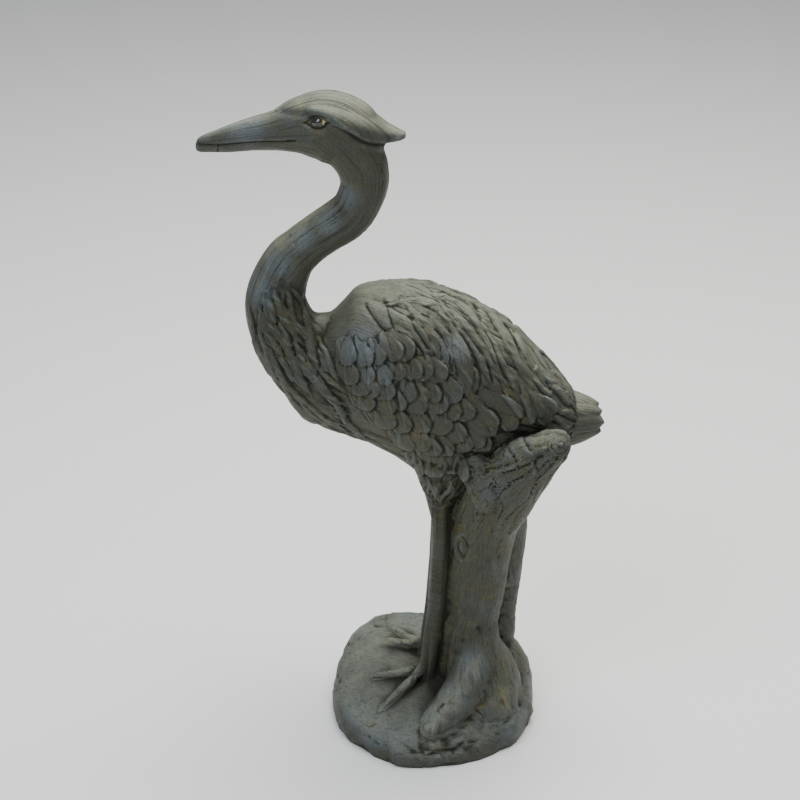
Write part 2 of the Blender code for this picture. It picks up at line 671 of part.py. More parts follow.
def heron_statue():
    """The whole casting: heron, stump and rock."""
    groups = gathered_shells()
    skin = fuse(groups)
    carve(skin, groups)
    skin = thin_out(skin)
    cut_flat(skin)
    skin.name = "heron_statue"
    skin.materials.clear()
    skin.materials.append(cast_stone())
    skin.shade_smooth()
    statue = bpy.data.objects.new("heron_statue", skin)
    bpy.context.collection.objects.link(statue)
    return statue


clear_scene()
heron_statue()
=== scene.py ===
"""A heron by a broken stump on a rock, cast in one piece of stone with a dark patina."""
import itertools
import math

import bmesh
import bpy
import numpy as np
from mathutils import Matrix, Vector


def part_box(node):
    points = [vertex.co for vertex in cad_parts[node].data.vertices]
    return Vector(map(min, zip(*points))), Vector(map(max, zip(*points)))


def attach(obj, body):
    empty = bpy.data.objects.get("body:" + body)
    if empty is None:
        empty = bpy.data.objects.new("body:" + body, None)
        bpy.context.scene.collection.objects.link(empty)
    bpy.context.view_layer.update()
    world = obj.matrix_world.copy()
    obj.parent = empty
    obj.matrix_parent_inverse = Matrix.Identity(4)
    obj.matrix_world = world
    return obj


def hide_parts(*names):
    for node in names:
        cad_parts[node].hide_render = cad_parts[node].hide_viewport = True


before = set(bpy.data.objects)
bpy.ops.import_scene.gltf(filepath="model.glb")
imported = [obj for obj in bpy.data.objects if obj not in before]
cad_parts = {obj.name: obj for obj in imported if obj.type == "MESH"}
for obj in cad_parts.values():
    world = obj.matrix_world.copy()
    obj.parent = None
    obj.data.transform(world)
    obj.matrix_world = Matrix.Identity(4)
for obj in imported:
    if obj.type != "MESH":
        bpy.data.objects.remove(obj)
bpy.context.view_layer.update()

# The rock
# The base of the casting: a low broken boulder, modelled in clay with the rest and cast with it.
# All places are drawn in millimetres from the middle of its top: x to the tail, y to the bird's
# right, z up. One drawn millimetre is worked out from the height of the solid casting.
low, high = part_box("heron_statue")
DRAWN_TALL = 803.4
UNIT = (high.z - low.z) / DRAWN_TALL
TOP_OVER_GROUND = 58.0
HALF_LENGTH = 126.0
HALF_DEPTH = 123.0
BELOW_GROUND = 12.0
CORNERS = [(-180, 0.99), (-155, 1.01), (-132, 1.01), (-108, 1.055), (-79, 1.005), (-51, 0.98),
           (-37, 1.01), (-10, 0.98), (9, 1.0), (34, 1.07), (55, 1.13), (92, 1.07), (118, 1.2),
           (138, 1.12), (160, 1.0), (180, 0.99)]
ROCK_SIDES = [(0.985, 0.0), (1.0, 0.25), (0.99, 0.62), (0.955, 0.88), (0.89, 1.0)]
RIM_LOW_FRONT = 0.50
RIM_HIGH_BACK = 1.06
CROWN = 0.97
HEAD, NECK, BODY, THIGH, SHANK, WOOD, ROCK, FEATHER, LOCK = range(9)
forms = []


def to_world(places):
    """Turn drawn places into metres above the ground."""
    return (np.asarray(places, dtype=float) + (0, 0, TOP_OVER_GROUND)) * UNIT


def to_drawn(places):
    """Turn metres above the ground into drawn places."""
    return places / UNIT - (0, 0, TOP_OVER_GROUND)


def smooth_path(points, steps):
    """Points on a smooth curve through the given rows, of any number of columns."""
    rows = np.array(points, dtype=float)
    ends = np.vstack([2 * rows[0] - rows[1], rows, 2 * rows[-1] - rows[-2]])
    found = []
    for index in range(1, len(ends) - 2):
        before, start, end, after = ends[index - 1:index + 3]
        for step in range(steps):
            part = step / steps
            found.append(0.5 * (2 * start + (end - before) * part
                                + (2 * before - 5 * start + 4 * end - after) * part ** 2
                                + (3 * start - before - 3 * end + after) * part ** 3))
    found.append(rows[-1])
    return np.array(found)


def give(mesh, name, values, kind="FLOAT"):
    """Store one value or one row of three for each point of a mesh."""
    stored = mesh.attributes.new(name, kind, "POINT")
    field = "vector" if kind == "FLOAT_VECTOR" else "value"
    stored.data.foreach_set(field, np.asarray(values, dtype=np.float32).ravel())


def put(name, data):
    """Put an object in the scene."""
    holder = bpy.data.objects.new(name, data)
    bpy.context.collection.objects.link(holder)
    return holder


def add_form(mesh, kind):
    """Put a mesh in the scene as one of the forms that are run together, and mark its kind."""
    give(mesh, "kind", kind + np.zeros(len(mesh.vertices)))
    forms.append(put(mesh.name, mesh))


def shell(name, rings, kind):
    """A closed form through rings of equal length, its two ends closed to their middles."""
    mesh = bpy.data.meshes.new(name)
    work = bmesh.new()
    loops = [[work.verts.new(point) for point in to_world(ring)] for ring in rings]
    count = len(loops[0])
    for lower, upper in zip(loops, loops[1:]):
        for index in range(count):
            after = (index + 1) % count
            work.faces.new((lower[index], lower[after], upper[after], upper[index]))
    for loop in (loops[0], loops[-1]):
        middle = work.verts.new(sum((v.co for v in loop), start=loop[0].co * 0) / count)
        for index in range(count):
            work.faces.new((loop[index], loop[(index + 1) % count], middle))
    bmesh.ops.recalc_face_normals(work, faces=work.faces)
    work.to_mesh(mesh)
    work.free()
    add_form(mesh, kind)
    return forms[-1]


def rock_reach(angle):
    """How far the rock's outline reaches at an angle, as a share of its half size."""
    return np.interp(np.degrees(angle), *zip(*CORNERS))


def rim_share(angle):
    """The rim's height as a share of the rock's: low in front and high behind."""
    return RIM_LOW_FRONT + (RIM_HIGH_BACK - RIM_LOW_FRONT) * (1 + np.sin(angle)) / 2


def rock_top(x, y):
    """The drawn height of the rock's upper face at a place."""
    angle = np.arctan2(y / HALF_DEPTH, x / HALF_LENGTH)
    reach = np.hypot(x / HALF_LENGTH, y / HALF_DEPTH) / rock_reach(angle)
    share = np.clip(reach / ROCK_SIDES[-1][0], 0, 1) ** 2.2
    return (CROWN + (rim_share(angle) - CROWN) * share - 1) * TOP_OVER_GROUND


def rock():
    """The rock, with an allowance below the ground that is cut off at the end."""
    angles = np.linspace(-math.pi, math.pi, 120, endpoint=False)
    half = np.column_stack([np.cos(angles) * HALF_LENGTH, np.sin(angles) * HALF_DEPTH])
    outline = half * rock_reach(angles)[:, None]
    bottom = np.full(len(angles), -TOP_OVER_GROUND - BELOW_GROUND)
    rings = [np.column_stack([outline * 0.97, bottom])]
    for share, height in ROCK_SIDES:
        level = (rim_share(angles) * height - 1) * TOP_OVER_GROUND
        rings.append(np.column_stack([outline * share, level]))
    for share in (0.75, 0.55, 0.35, 0.12):
        flat = outline * share
        rings.append(np.column_stack([flat, rock_top(flat[:, 0], flat[:, 1])]))
    return shell("rock", rings, ROCK)


boulder = rock()

# The stump
# A stem broken off the tree: it leans out under the bird's tail and carries the casting's weight.
# It ends in a sawn branch, with a snag, a second stem behind and roots that grip the rock.
# Each row of a limb is x, y, z, half its depth in the plane it bends in, half its other width.
CUT_RADIUS = 21.0
CUT_END = (135, -70, 356)
TRUNK = [(46, 4, -22, 52, 46), (42, 2, 4, 42, 38), (40, 0, 32, 34, 34), (42, -2, 68, 33, 33),
         (48, -4, 101, 34.5, 33), (55, -8, 173, 37, 34), (61, -14, 221, 40, 35),
         (73, -26, 262, 43, 36), (90, -42, 296, 38, 33), (107, -54, 322, 31, 29),
         (123, -64, 343, 24, 23), (*CUT_END, CUT_RADIUS, CUT_RADIUS)]
BACK_STEM = [(80, 22, -22, 30, 26), (79, 22, 20, 20, 20), (83, 20, 52, 18, 18),
             (89, 20, 122, 18, 18), (93, 18, 196, 18, 18), (86, 4, 236, 20, 20)]
SNAG = [(40, -44, 330, 18, 15), (46, -54, 312, 20, 17), (51, -61, 292, 17, 14),
        (54, -63, 274, 11, 9), (56, -61, 262, 5, 5)]
BURL = [(60, -46, 300, 14, 14), (80, -58, 318, 24, 20), (102, -66, 340, 24, 18),
        (118, -69, 352, 15, 12)]
FRONT_ROOT = [(54, -8, 76, 24, 24), (54, -28, 36, 26, 27), (38, -52, 6, 25, 26),
              (14, -76, -16, 21, 23), (-10, -92, -32, 16, 19), (-30, -103, -45, 11, 13)]
FRONT_SKIRT = [(52, -10, 46, 32, 30), (57, -40, 6, 42, 24), (58, -66, -22, 46, 17),
               (56, -88, -44, 40, 9)]
BACK_ROOT = [(72, 12, 20, 28, 28), (94, 24, -12, 26, 26), (102, 30, -38, 18, 18)]
SIDE_ROOT = [(60, -10, 30, 30, 30), (78, -24, -4, 30, 30), (92, -36, -36, 20, 22)]
END_DOME = [(112, -58, 330, 20, 20), (124, -65, 344, 20.5, 20.5), (132, -69, 353, 19, 19),
            (139, -72, 361, 15, 15), (143.5, -74, 366, 9, 9), (145.5, -75, 368, 2, 2)]
WEB = [(24, -8, 262, 20, 7), (22, -8, 160, 18, 6), (16, -8, 70, 18, 6), (10, -8, -4, 20, 8)]


def line_frame(ways):
    """The unit ways of a line at its points, its level sides and its fronts there."""
    ways = ways / np.linalg.norm(ways, axis=1)[:, None]
    sides = np.array([0.0, 1.0, 0.0]) - ways[:, 1:2] * ways
    sides = sides / np.linalg.norm(sides, axis=1)[:, None]
    return ways, sides, np.cross(sides, ways)


def limb_rings(stations, broad_top=0.0, upright=False, steps=8, sides=64):
    """Rings of a rounded limb along a bending line, square to the line or upright."""
    path = smooth_path(stations, steps)
    ways = np.gradient(path[:, :3], axis=0)
    if upright:
        ways = np.tile([1.0, 0.0, 0.0], (len(path), 1))
    turn = np.linspace(0, 2 * math.pi, sides, endpoint=False)
    rings = []
    for row, _, side, up in zip(path, *line_frame(ways)):
        swell = 1 + broad_top * np.cos(turn) * np.sign(up[2])
        spread = (np.sin(turn) * swell)[:, None] * side * row[4]
        rings.append(row[:3] + np.cos(turn)[:, None] * up * row[3] + spread)
    return np.array(rings)


def mesh_as_shown(holder):
    """A plain mesh of an object with its modifiers applied."""
    graph = bpy.context.evaluated_depsgraph_get()
    graph.update()
    return bpy.data.meshes.new_from_object(holder.evaluated_get(graph))


def joined(parts, name):
    """One object made of copies of several, which stay as they are."""
    copies = [put(name, part.data.copy()) for part in parts]
    with bpy.context.temp_override(active_object=copies[0], object=copies[0],
                                   selected_objects=copies, selected_editable_objects=copies):
        bpy.ops.object.join()
    return copies[0]


def run_together(parts, grain, passes):
    """A mesh of several closed forms run into one skin, softened where they meet."""
    holder = joined(parts, "run_together")
    skin = holder.modifiers.new("one_skin", "REMESH")
    skin.mode = "VOXEL"
    skin.voxel_size = grain
    soften = holder.modifiers.new("soften", "SMOOTH")
    soften.factor = 0.5
    soften.iterations = passes
    mesh = mesh_as_shown(holder)
    bpy.data.objects.remove(holder)
    return mesh


def read(items, field, width=1, kind=float):
    """What a mesh holds for each of its items, as an array."""
    found = np.empty(len(items) * width, dtype=kind)
    items.foreach_get(field, found)
    return found.reshape(-1, width) if width > 1 else found


def points_of(mesh):
    """The drawn places of a mesh's points."""
    return to_drawn(read(mesh.vertices, "co", 3))


def drop_forms(parts):
    """Take out forms that a common skin has replaced."""
    for part in parts:
        forms.remove(part)
        bpy.data.objects.remove(part)


BLEND_GRAIN = 0.0026
STUMP_BLEND = 22
ROOT_EDGE = 3.0
stump = [shell(name, limb_rings(stations), WOOD) for name, stations in (
    ("trunk", TRUNK), ("back_stem", BACK_STEM), ("snag", SNAG), ("burl", BURL),
    ("front_root", FRONT_ROOT), ("front_skirt", FRONT_SKIRT), ("back_root", BACK_ROOT),
    ("side_root", SIDE_ROOT), ("web", WEB))]
blended = run_together(stump + [boulder], BLEND_GRAIN, STUMP_BLEND)
drop_forms(stump)
on_rock = points_of(blended)
bare = on_rock[:, 2] < rock_top(on_rock[:, 0], on_rock[:, 1]) + ROOT_EDGE
add_form(blended, np.where(bare, ROCK, WOOD))
shell("sawn_end", limb_rings(END_DOME), WOOD)

# The legs and feet
# Two thin shanks with ringed skin, and long toes pressed into the rock, all of the same casting.
LEG_RADIUS = 10.0
LEG_LINE = [(262, 6), (181, 5.5), (109, 2.5), (51, -2.5), (10, -8)]
ANKLE_SPREAD = 1.15
FEET = [(-14, [(-80, -12), (-62, -64)]), (34, [(-66, 60), (-50, 84)])]
TOE_RADIUS = 6.0
TOE_SHAPE = [(0, 1.25), (0.22, 0.95), (0.3, 1.1), (0.5, 0.85), (0.58, 1.0), (0.8, 0.75),
             (0.86, 0.8), (1.0, 0.3)]

for side, tips in FEET:
    rows = [(x, side, z, LEG_RADIUS, LEG_RADIUS) for z, x in LEG_LINE]
    ankle_x = LEG_LINE[-1][1]
    wide = LEG_RADIUS * ANKLE_SPREAD
    rows.append((ankle_x - 3, side, rock_top(ankle_x, side) - 4, wide, wide))
    shell("shank", limb_rings(rows), SHANK)
    start = np.array([ankle_x - 4, side])
    for tip in tips:
        rows = []
        for share, thick in TOE_SHAPE:
            x, y = start + (np.array(tip) - start) * share
            lift = TOE_RADIUS * (0.75 - 0.6 * share) + 9 * (1 - share) ** 3
            size = TOE_RADIUS * thick
            rows.append((x, y, rock_top(x, y) + lift, size, size))
        shell("toe", limb_rings(rows, sides=32), SHANK)

# The heron's bare form
# Head, crest, neck, body, thighs and tail as smooth clay, before the feathers are laid on it.
# It is run into one skin here, because the feathers and locks below follow that skin.
HEAD_LINE = [(-261, 0, 684, 4, 3), (-257, 0, 684, 8, 5), (-246, 0, 687, 11, 7),
             (-225, 0, 691, 15, 9), (-198, 0, 697, 19, 11.5), (-171, 0, 701, 23.5, 15),
             (-146, 0, 706, 33, 21), (-122, 0, 706, 40, 26), (-98, 0, 699, 39, 27),
             (-78, 0, 690, 31, 25), (-64, 0, 686, 19, 17), (-58, 0, 685, 8, 8)]
CREST = [(-152, 0, 727, 5, 8), (-135, 0, 727, 11, 22), (-118, 0, 722, 16, 28),
         (-98, 0, 714, 19, 29.5), (-78, 0, 706, 17, 27), (-60, 0, 699, 12, 20),
         (-46, 0, 696, 8, 12), (-35, 0, 696, 3.5, 5)]
NECK_LINE = [(-116, 0, 706, 28, 22), (-98, 0, 690, 32, 26), (-85, 0, 668, 29, 27),
             (-80, 0, 648, 27, 26), (-82, 0, 632, 26, 25.5), (-91, 0, 611, 25, 25),
             (-104, 0, 598, 25.5, 24.5), (-125, 0, 584, 24.5, 24), (-145, 0, 569, 25, 24.5),
             (-163, 0, 551, 28, 26.5), (-176, 0, 524, 31.5, 29), (-180, 0, 498, 35, 32),
             (-172, 0, 467, 39.5, 36), (-158, 0, 443, 44, 40), (-137, 0, 420, 48, 44),
             (-108, 0, 404, 54, 49), (-70, 0, 398, 50, 46)]
BODY_LINE = [(-150, 0, 396, 30, 30), (-135, 0, 404, 55, 42), (-119, 0, 412, 70, 48),
             (-103, 0, 417, 83, 53), (-90, 0, 421, 93, 57), (-73, 0, 420, 99, 61),
             (-41, 0, 412, 111, 65), (-8, 0, 397, 121.5, 67), (20, 0, 387.25, 121.75, 67),
             (42, 0, 383.25, 115.25, 66), (71, 0, 380.25, 99.25, 62), (91, 0, 376.25, 86.75, 58),
             (109, 0, 370.25, 73.25, 52), (129, 0, 364, 59, 46), (146, 0, 357, 44, 38),
             (158, 0, 353, 31, 29), (165, 0, 350, 14, 16)]
TAIL_LINE = [(90, 0, 345, 30, 28), (130, 0, 348, 34, 28), (155, 0, 346, 28, 24),
             (170, 0, 348, 21, 18), (181, 0, 349, 16, 13), (188, 0, 349, 7, 6)]
TUFT_LINE = [(-160, 0, 414, 20, 24), (-142, 0, 388, 30, 28), (-120, 0, 372, 30, 27),
             (-98, 0, 356, 25, 22), (-82, 0, 340, 16, 15), (-72, 0, 330, 7, 8)]
SADDLE = [(-158, 0, 462, 12, 18), (-140, 0, 466, 17, 20), (-120, 0, 468, 18, 20),
          (-100, 0, 472, 16, 20), (-80, 0, 476, 8, 12)]
NEAR_THIGH = [(10, -22, 312, 38, 30), (8, -20, 286, 29, 24), (6, -16, 264, 19, 16),
              (5, -14, 246, 12, 11)]
FAR_THIGH = [(7, 14, 350, 30, 22), (5, 25, 302, 34, 28), (4, 31, 250, 20, 21),
             (4, 34, 222, 14, 14), (5, 34, 206, 11, 11), (5, 34, 198, 8, 8)]

HEAD_BLEND = 9
BARE_BLEND = 8
HEAD_ABOVE = 672
upper = [shell("head", limb_rings(HEAD_LINE), HEAD), shell("crest", limb_rings(CREST), HEAD),
         shell("neck", limb_rings(NECK_LINE), NECK)]
blended = run_together(upper, BLEND_GRAIN / 2, HEAD_BLEND)
drop_forms(upper)
add_form(blended, np.where(points_of(blended)[:, 2] > HEAD_ABOVE, HEAD, NECK))
shell("body", limb_rings(BODY_LINE, broad_top=0.18, upright=True, sides=96), BODY)
shell("tail", limb_rings(TAIL_LINE, upright=True), BODY)
for name, stations, kind in (("breast_tuft", TUFT_LINE, NECK), ("saddle", SADDLE, NECK),
                             ("near_thigh", NEAR_THIGH, THIGH), ("far_thigh", FAR_THIGH, THIGH)):
    shell(name, limb_rings(stations), kind)
bare_form = put("bare_form", run_together([form for form in forms if form is not boulder],
                                          BLEND_GRAIN, BARE_BLEND))
bare_form.data.shade_smooth()

# The wing feathers
# Rows of short rounded feathers, pressed onto both wings one by one like roof tiles.
# A leaf is modelled once, and a tree of nodes lays each row along its line of tips.
# Each row is its first, middle and last tip x and z, how many, half width, length,
# and how steeply its first and its last feather point down, in degrees.
WING_ROWS = [(-18, 300, 8, 304, 34, 306, 4, 14, 44, 70, 56),
             (-34, 334, 8, 336, 56, 342, 6, 14, 50, 66, 50),
             (-54, 370, -14, 366, 30, 360, 5, 15, 52, 66, 50),
             (48, 350, 86, 368, 128, 372, 5, 12.5, 62, 50, 38),
             (52, 366, 92, 384, 136, 382, 5, 12, 60, 48, 38),
             (-72, 396, -16, 394, 40, 388, 7, 13.5, 46, 62, 46),
             (-84, 414, -36, 412, 22, 410, 7, 13, 42, 58, 44),
             (-90, 430, -44, 434, 8, 438, 7, 12, 38, 56, 42),
             (-92, 448, -60, 454, -24, 462, 5, 11.5, 34, 52, 42)]
FEATHER_LIFT = 4.6
FEATHER_SINK = 2.5
ROUND_PART = 0.34
SIDE_FALL = 0.12
LAP = 0.26
WANDER = 4.2
FAR_OUT = 200.0
LEAN_SLIP = 0.2
SIZE_RANGE = (0.82, 1.2)


def leaf_mesh(name, lift, sink, rounded, bend=0.0, solid=0, along_steps=12, across_steps=8):
    """A feather one long and one wide to each side, tip at the origin, with its rise stored."""
    places, rises, flows, faces = [], [], [], []
    for layer in (1, 0):
        for i in range(along_steps + 1):
            share = math.sin(i / along_steps * math.pi / 2)
            round_end = max(0.0, (share - 1 + rounded) / rounded)
            half = (0.85 + 0.15 * min(1, share / 0.5)) * (1 - round_end ** 2.4) ** 0.5
            for j in range(across_steps + 1):
                beside = 2 * j / across_steps - 1
                crown = 1 - SIDE_FALL * beside ** 2 + LAP * beside
                rise = lift * (0.1 + 0.9 * share ** 1.4) * crown
                level = (rise if layer else -sink) * solid * (1 - 0.75 * round_end ** 2)
                level -= bend * beside ** 2
                places.append((share - 1, beside * half, level))
                rises.append(rise if layer else -sink)
                flows.append((share * 30, beside * half * 9, 0))
    row = across_steps + 1
    sheet = row * (along_steps + 1)
    for i in range(along_steps):
        for j in range(across_steps):
            corner = i * row + j
            quad = (corner, corner + row, corner + row + 1, corner + 1)
            faces.append(quad)
            faces.append(tuple(sheet + k for k in reversed(quad)))
    rim = [j for j in range(row)] + [i * row + across_steps for i in range(1, along_steps + 1)]
    rim += [along_steps * row + j for j in range(across_steps - 1, -1, -1)]
    rim += [i * row for i in range(along_steps - 1, 0, -1)]
    for start, end in zip(rim, rim[1:] + rim[:1]):
        faces.append((start, end, sheet + end, sheet + start))
    mesh = bpy.data.meshes.new(name)
    mesh.from_pydata(places, [], faces)
    give(mesh, "rise", rises)
    give(mesh, "flow", flows, "FLOAT_VECTOR")
    return mesh


def live(node):
    """The first output of a node that is in use."""
    return next(item for item in node.outputs if item.enabled)


def add(tree, kind, feeds=None, **settings):
    """Place a node, set it up, and feed its sockets with values or other nodes' outputs."""
    made = tree.nodes.new(kind)
    for setting, value in settings.items():
        setattr(made, setting, value)
    for key, feed in (feeds or {}).items():
        socket = made.inputs[key] if isinstance(key, int) else next(
            item for item in made.inputs if item.name == key and item.enabled)
        if isinstance(feed, bpy.types.Node):
            feed = live(feed)
        if isinstance(feed, bpy.types.NodeSocket):
            tree.links.new(feed, socket)
        else:
            socket.default_value = feed
    return made


def plus(tree, one, other, kind="ADD"):
    """The sum, or another vector operation, of two vectors."""
    return add(tree, "ShaderNodeVectorMath", {0: one, 1: other}, operation=kind).outputs[0]


def calc(tree, kind, *values):
    """One operation on numbers."""
    return live(add(tree, "ShaderNodeMath", dict(enumerate(values)), operation=kind))


def times(tree, *values):
    """The product of several numbers, worked out from the first."""
    total = values[0]
    for value in values[1:]:
        total = calc(tree, "MULTIPLY", total, value)
    return total


def vector(tree, x=0.0, y=0.0, z=0.0):
    """A vector from its three parts."""
    return live(add(tree, "ShaderNodeCombineXYZ", {"X": x, "Y": y, "Z": z}))


def parts_of(tree, feed):
    """The three parts of a vector."""
    return add(tree, "ShaderNodeSeparateXYZ", {0: feed}).outputs


def scaled(tree, feed, scale):
    """A vector made longer or shorter."""
    return live(add(tree, "ShaderNodeVectorMath", {0: feed, "Scale": scale}, operation="SCALE"))


def slope(tree, value, low_end, high_end, out_low=0.0, out_high=1.0):
    """A value run smoothly from one range into another."""
    return live(add(tree, "ShaderNodeMapRange", {
        "Value": value, "From Min": low_end, "From Max": high_end, "To Min": out_low,
        "To Max": out_high}, interpolation_type="SMOOTHSTEP"))


def strayed(tree, least, most, seed, kind="FLOAT"):
    """A random value for each point."""
    return live(add(tree, "FunctionNodeRandomValue", {"Min": least, "Max": most, "Seed": seed},
                    data_type=kind))


def here(tree):
    """Each point's place."""
    return live(add(tree, "GeometryNodeInputPosition"))


def geometry_of(tree, feed):
    """The geometry of an object."""
    return add(tree, "GeometryNodeObjectInfo", {"Object": feed}).outputs["Geometry"]


def named(tree, name, kind="FLOAT"):
    """A value that was stored under a name."""
    return live(add(tree, "GeometryNodeInputNamedAttribute", {"Name": name}, data_type=kind))


def kept(tree, geometry, name, value, kind="FLOAT"):
    """A geometry with a value stored on its points under a name."""
    return live(add(tree, "GeometryNodeStoreNamedAttribute", {
        "Geometry": geometry, "Name": name, "Value": value}, data_type=kind))


def nearest(tree, mesh, value, kind="FLOAT_VECTOR"):
    """A value of a mesh at the place on it that is nearest to each point."""
    return live(add(tree, "GeometryNodeSampleNearestSurface", {"Mesh": mesh, "Value": value},
                    data_type=kind))


def moved(tree, geometry, **feeds):
    """A geometry with its points moved."""
    return live(add(tree, "GeometryNodeSetPosition", {"Geometry": geometry, **feeds}))


def struck_from_side(tree, skin, side):
    """Where a level ray from far out on one side of the bird strikes the skin."""
    start = plus(tree, here(tree), vector(tree, y=times(tree, side, FAR_OUT * UNIT)))
    return add(tree, "GeometryNodeRaycast", {
        "Target Geometry": skin, "Source Position": start,
        "Ray Direction": vector(tree, y=times(tree, side, -1)), "Ray Length": 1.0})


def new_tree(name, inputs, outputs=None, kind="GeometryNodeTree"):
    """An empty tree of nodes, its named inputs by their kinds, and the node that ends it."""
    tree = bpy.data.node_groups.new(name, kind)
    for way, sockets in (("INPUT", inputs), ("OUTPUT", outputs or {"Geometry": ["Geometry"]})):
        for socket, labels in sockets.items():
            for label in labels:
                tree.interface.new_socket(label, in_out=way, socket_type="NodeSocket" + socket)
    given = tree.nodes.new("NodeGroupInput")
    return tree, given.outputs, tree.nodes.new("NodeGroupOutput")


def grown(name, tree, values, mesh=None):
    """The plain mesh that a tree of nodes makes from its named values."""
    holder = put(name, mesh or bpy.data.meshes.new(name))
    growth = holder.modifiers.new(name, "NODES")
    growth.node_group = tree
    for item in tree.interface.items_tree:
        if item.in_out == "INPUT" and item.name in values:
            growth[item.identifier] = values[item.name]
    result = mesh_as_shown(holder)
    bpy.data.objects.remove(holder)
    result.name = name
    return result


def laid_on(tree, geometry, ground, rise):
    """Lay every point of a geometry on the ground mesh, raised along the ground's normal."""
    spot = nearest(tree, ground, here(tree))
    out = nearest(tree, ground, add(tree, "GeometryNodeInputNormal"))
    return moved(tree, geometry, Position=plus(tree, spot, scaled(tree, out, rise)))


def finished(tree, geometry, material, ends):
    """End a tree with its instances made real and its material set."""
    real = add(tree, "GeometryNodeRealizeInstances", {"Geometry": geometry})
    coat = add(tree, "GeometryNodeSetMaterial", {"Geometry": real, "Material": material})
    tree.links.new(coat.outputs[0], ends.inputs[0])


def feather_row_tree():
    """Nodes that lay one row of feathers on a wing, along a curve through three tips."""
    tree, ask, ends = new_tree("feather_row", {
        "Object": ["Skin", "Feather"], "Vector": ["First Tip", "Middle Tip", "Last Tip"],
        "Int": ["Feathers", "Seed"], "Material": ["Material"],
        "Float": ["Length", "Half Width", "First Lean", "Last Lean", "Side", "Wander"]})
    skin = geometry_of(tree, ask["Skin"])
    outer = scaled(tree, plus(tree, ask["First Tip"], ask["Last Tip"]), 0.5)
    middle = plus(tree, scaled(tree, ask["Middle Tip"], 2.0), outer, "SUBTRACT")
    line = add(tree, "GeometryNodeCurveQuadraticBezier",
               {"Start": ask["First Tip"], "Middle": middle, "End": ask["Last Tip"]})
    tips = add(tree, "GeometryNodeCurveToPoints", {"Curve": line, "Count": ask["Feathers"]})
    share = calc(tree, "DIVIDE", add(tree, "GeometryNodeInputIndex"),
                 calc(tree, "SUBTRACT", ask["Feathers"], 1))
    most = ask["Wander"]
    least = times(tree, most, -1)
    stray = strayed(tree, vector(tree, x=least, z=least), vector(tree, x=most, z=most),
                    ask["Seed"], "FLOAT_VECTOR")
    tips = moved(tree, tips, Offset=stray)
    hit = struck_from_side(tree, skin, ask["Side"])
    lean = add(tree, "ShaderNodeMapRange", {"Value": share, "To Min": ask["First Lean"],
                                            "To Max": ask["Last Lean"]})
    slip = strayed(tree, -LEAN_SLIP, LEAN_SLIP, calc(tree, "ADD", ask["Seed"], 50))
    lean = calc(tree, "ADD", lean, slip)
    way = vector(tree, x=calc(tree, "COSINE", lean), z=times(tree, calc(tree, "SINE", lean), -1))
    turn = add(tree, "FunctionNodeAxesToRotation",
               {"Primary Axis": hit.outputs["Hit Normal"], "Secondary Axis": way},
               primary_axis="Z", secondary_axis="X")
    tips = moved(tree, tips, Position=hit.outputs["Hit Position"])
    grow = strayed(tree, *SIZE_RANGE, calc(tree, "ADD", ask["Seed"], 90))
    size = scaled(tree, vector(tree, ask["Length"], ask["Half Width"], 1.0), grow)
    rows = add(tree, "GeometryNodeInstanceOnPoints",
               {"Points": tips, "Instance": geometry_of(tree, ask["Feather"]),
                "Rotation": turn, "Scale": size})
    real = add(tree, "GeometryNodeRealizeInstances", {"Geometry": rows})
    finished(tree, laid_on(tree, real, skin, named(tree, "rise")), ask["Material"], ends)
    return tree


plumage = bpy.data.materials.new("feathered_stone")
feather_leaf = put("feather_leaf", leaf_mesh(
    "feather_leaf", FEATHER_LIFT * UNIT, FEATHER_SINK * UNIT, ROUND_PART))
feather_row = feather_row_tree()
for row, (x0, z0, x1, z1, x2, z2, count, half, length, first, last) in enumerate(WING_ROWS):
    for side in (-1, 1):
        made = grown("feathers", feather_row, {
            "Skin": bare_form, "Feather": feather_leaf, "First Tip": to_world((x0, 0, z0)),
            "Middle Tip": to_world((x1, 0, z1)), "Last Tip": to_world((x2, 0, z2)),
            "Feathers": count, "Length": length * UNIT, "Half Width": half * UNIT,
            "First Lean": math.radians(first), "Last Lean": math.radians(last),
            "Side": float(side), "Wander": WANDER * UNIT, "Seed": row + 20 * (side + 1),
            "Material": plumage})
        add_form(made, FEATHER)

# The back plumes and loose locks
# Long soft locks that sweep from the shoulders over the wings, and ragged ones on the breast
# and thighs. Each is a tapering strip of clay drawn along a line and pressed onto the form.
# A plume is its places in side view, x and z, and half its width.
PLUMES = [([(-41, 518), (-20, 500), (-5, 482), (1, 458), (7, 443), (16, 441)], 5.0),
          ([(-12, 505), (7, 486), (16, 466), (15, 450), (18, 440)], 4.5),
          ([(14, 492), (24, 470), (31, 440), (33, 404)], 10.0),
          ([(20, 500), (36, 478), (48, 452), (62, 430), (83, 393)], 6.5),
          ([(32, 500), (56, 472), (70, 446), (88, 418), (111, 386)], 6.5),
          ([(44, 502), (72, 474), (90, 444), (106, 418), (122, 393)], 6.0),
          ([(58, 496), (90, 462), (106, 436), (124, 408), (140, 382)], 6.0),
          ([(79, 475), (105, 445), (123, 421), (141, 401), (157, 386)], 5.5),
          ([(96, 455), (118, 430), (136, 410), (149, 398), (162, 384)], 4.5),
          ([(-46, 496), (-31, 483), (-20, 473), (-12, 465), (-6, 458)], 5.0),
          ([(-30, 520), (-3, 508), (18, 492), (37, 472), (52, 444)], 5.5),
          ([(-6, 514), (18, 508), (39, 494), (56, 474), (84, 431)], 6.0),
          ([(-62, 510), (-22, 514), (20, 496), (50, 462), (74, 424), (92, 396)], 7.0),
          ([(-20, 528), (22, 516), (60, 488), (90, 452), (116, 414), (138, 388)], 7.0),
          ([(16, 522), (54, 504), (88, 472), (114, 438), (138, 406), (158, 386)], 6.5)]
PLUME_STEP = 2.5
THICK_FROM = 0.35
START_WIDTH = 0.25
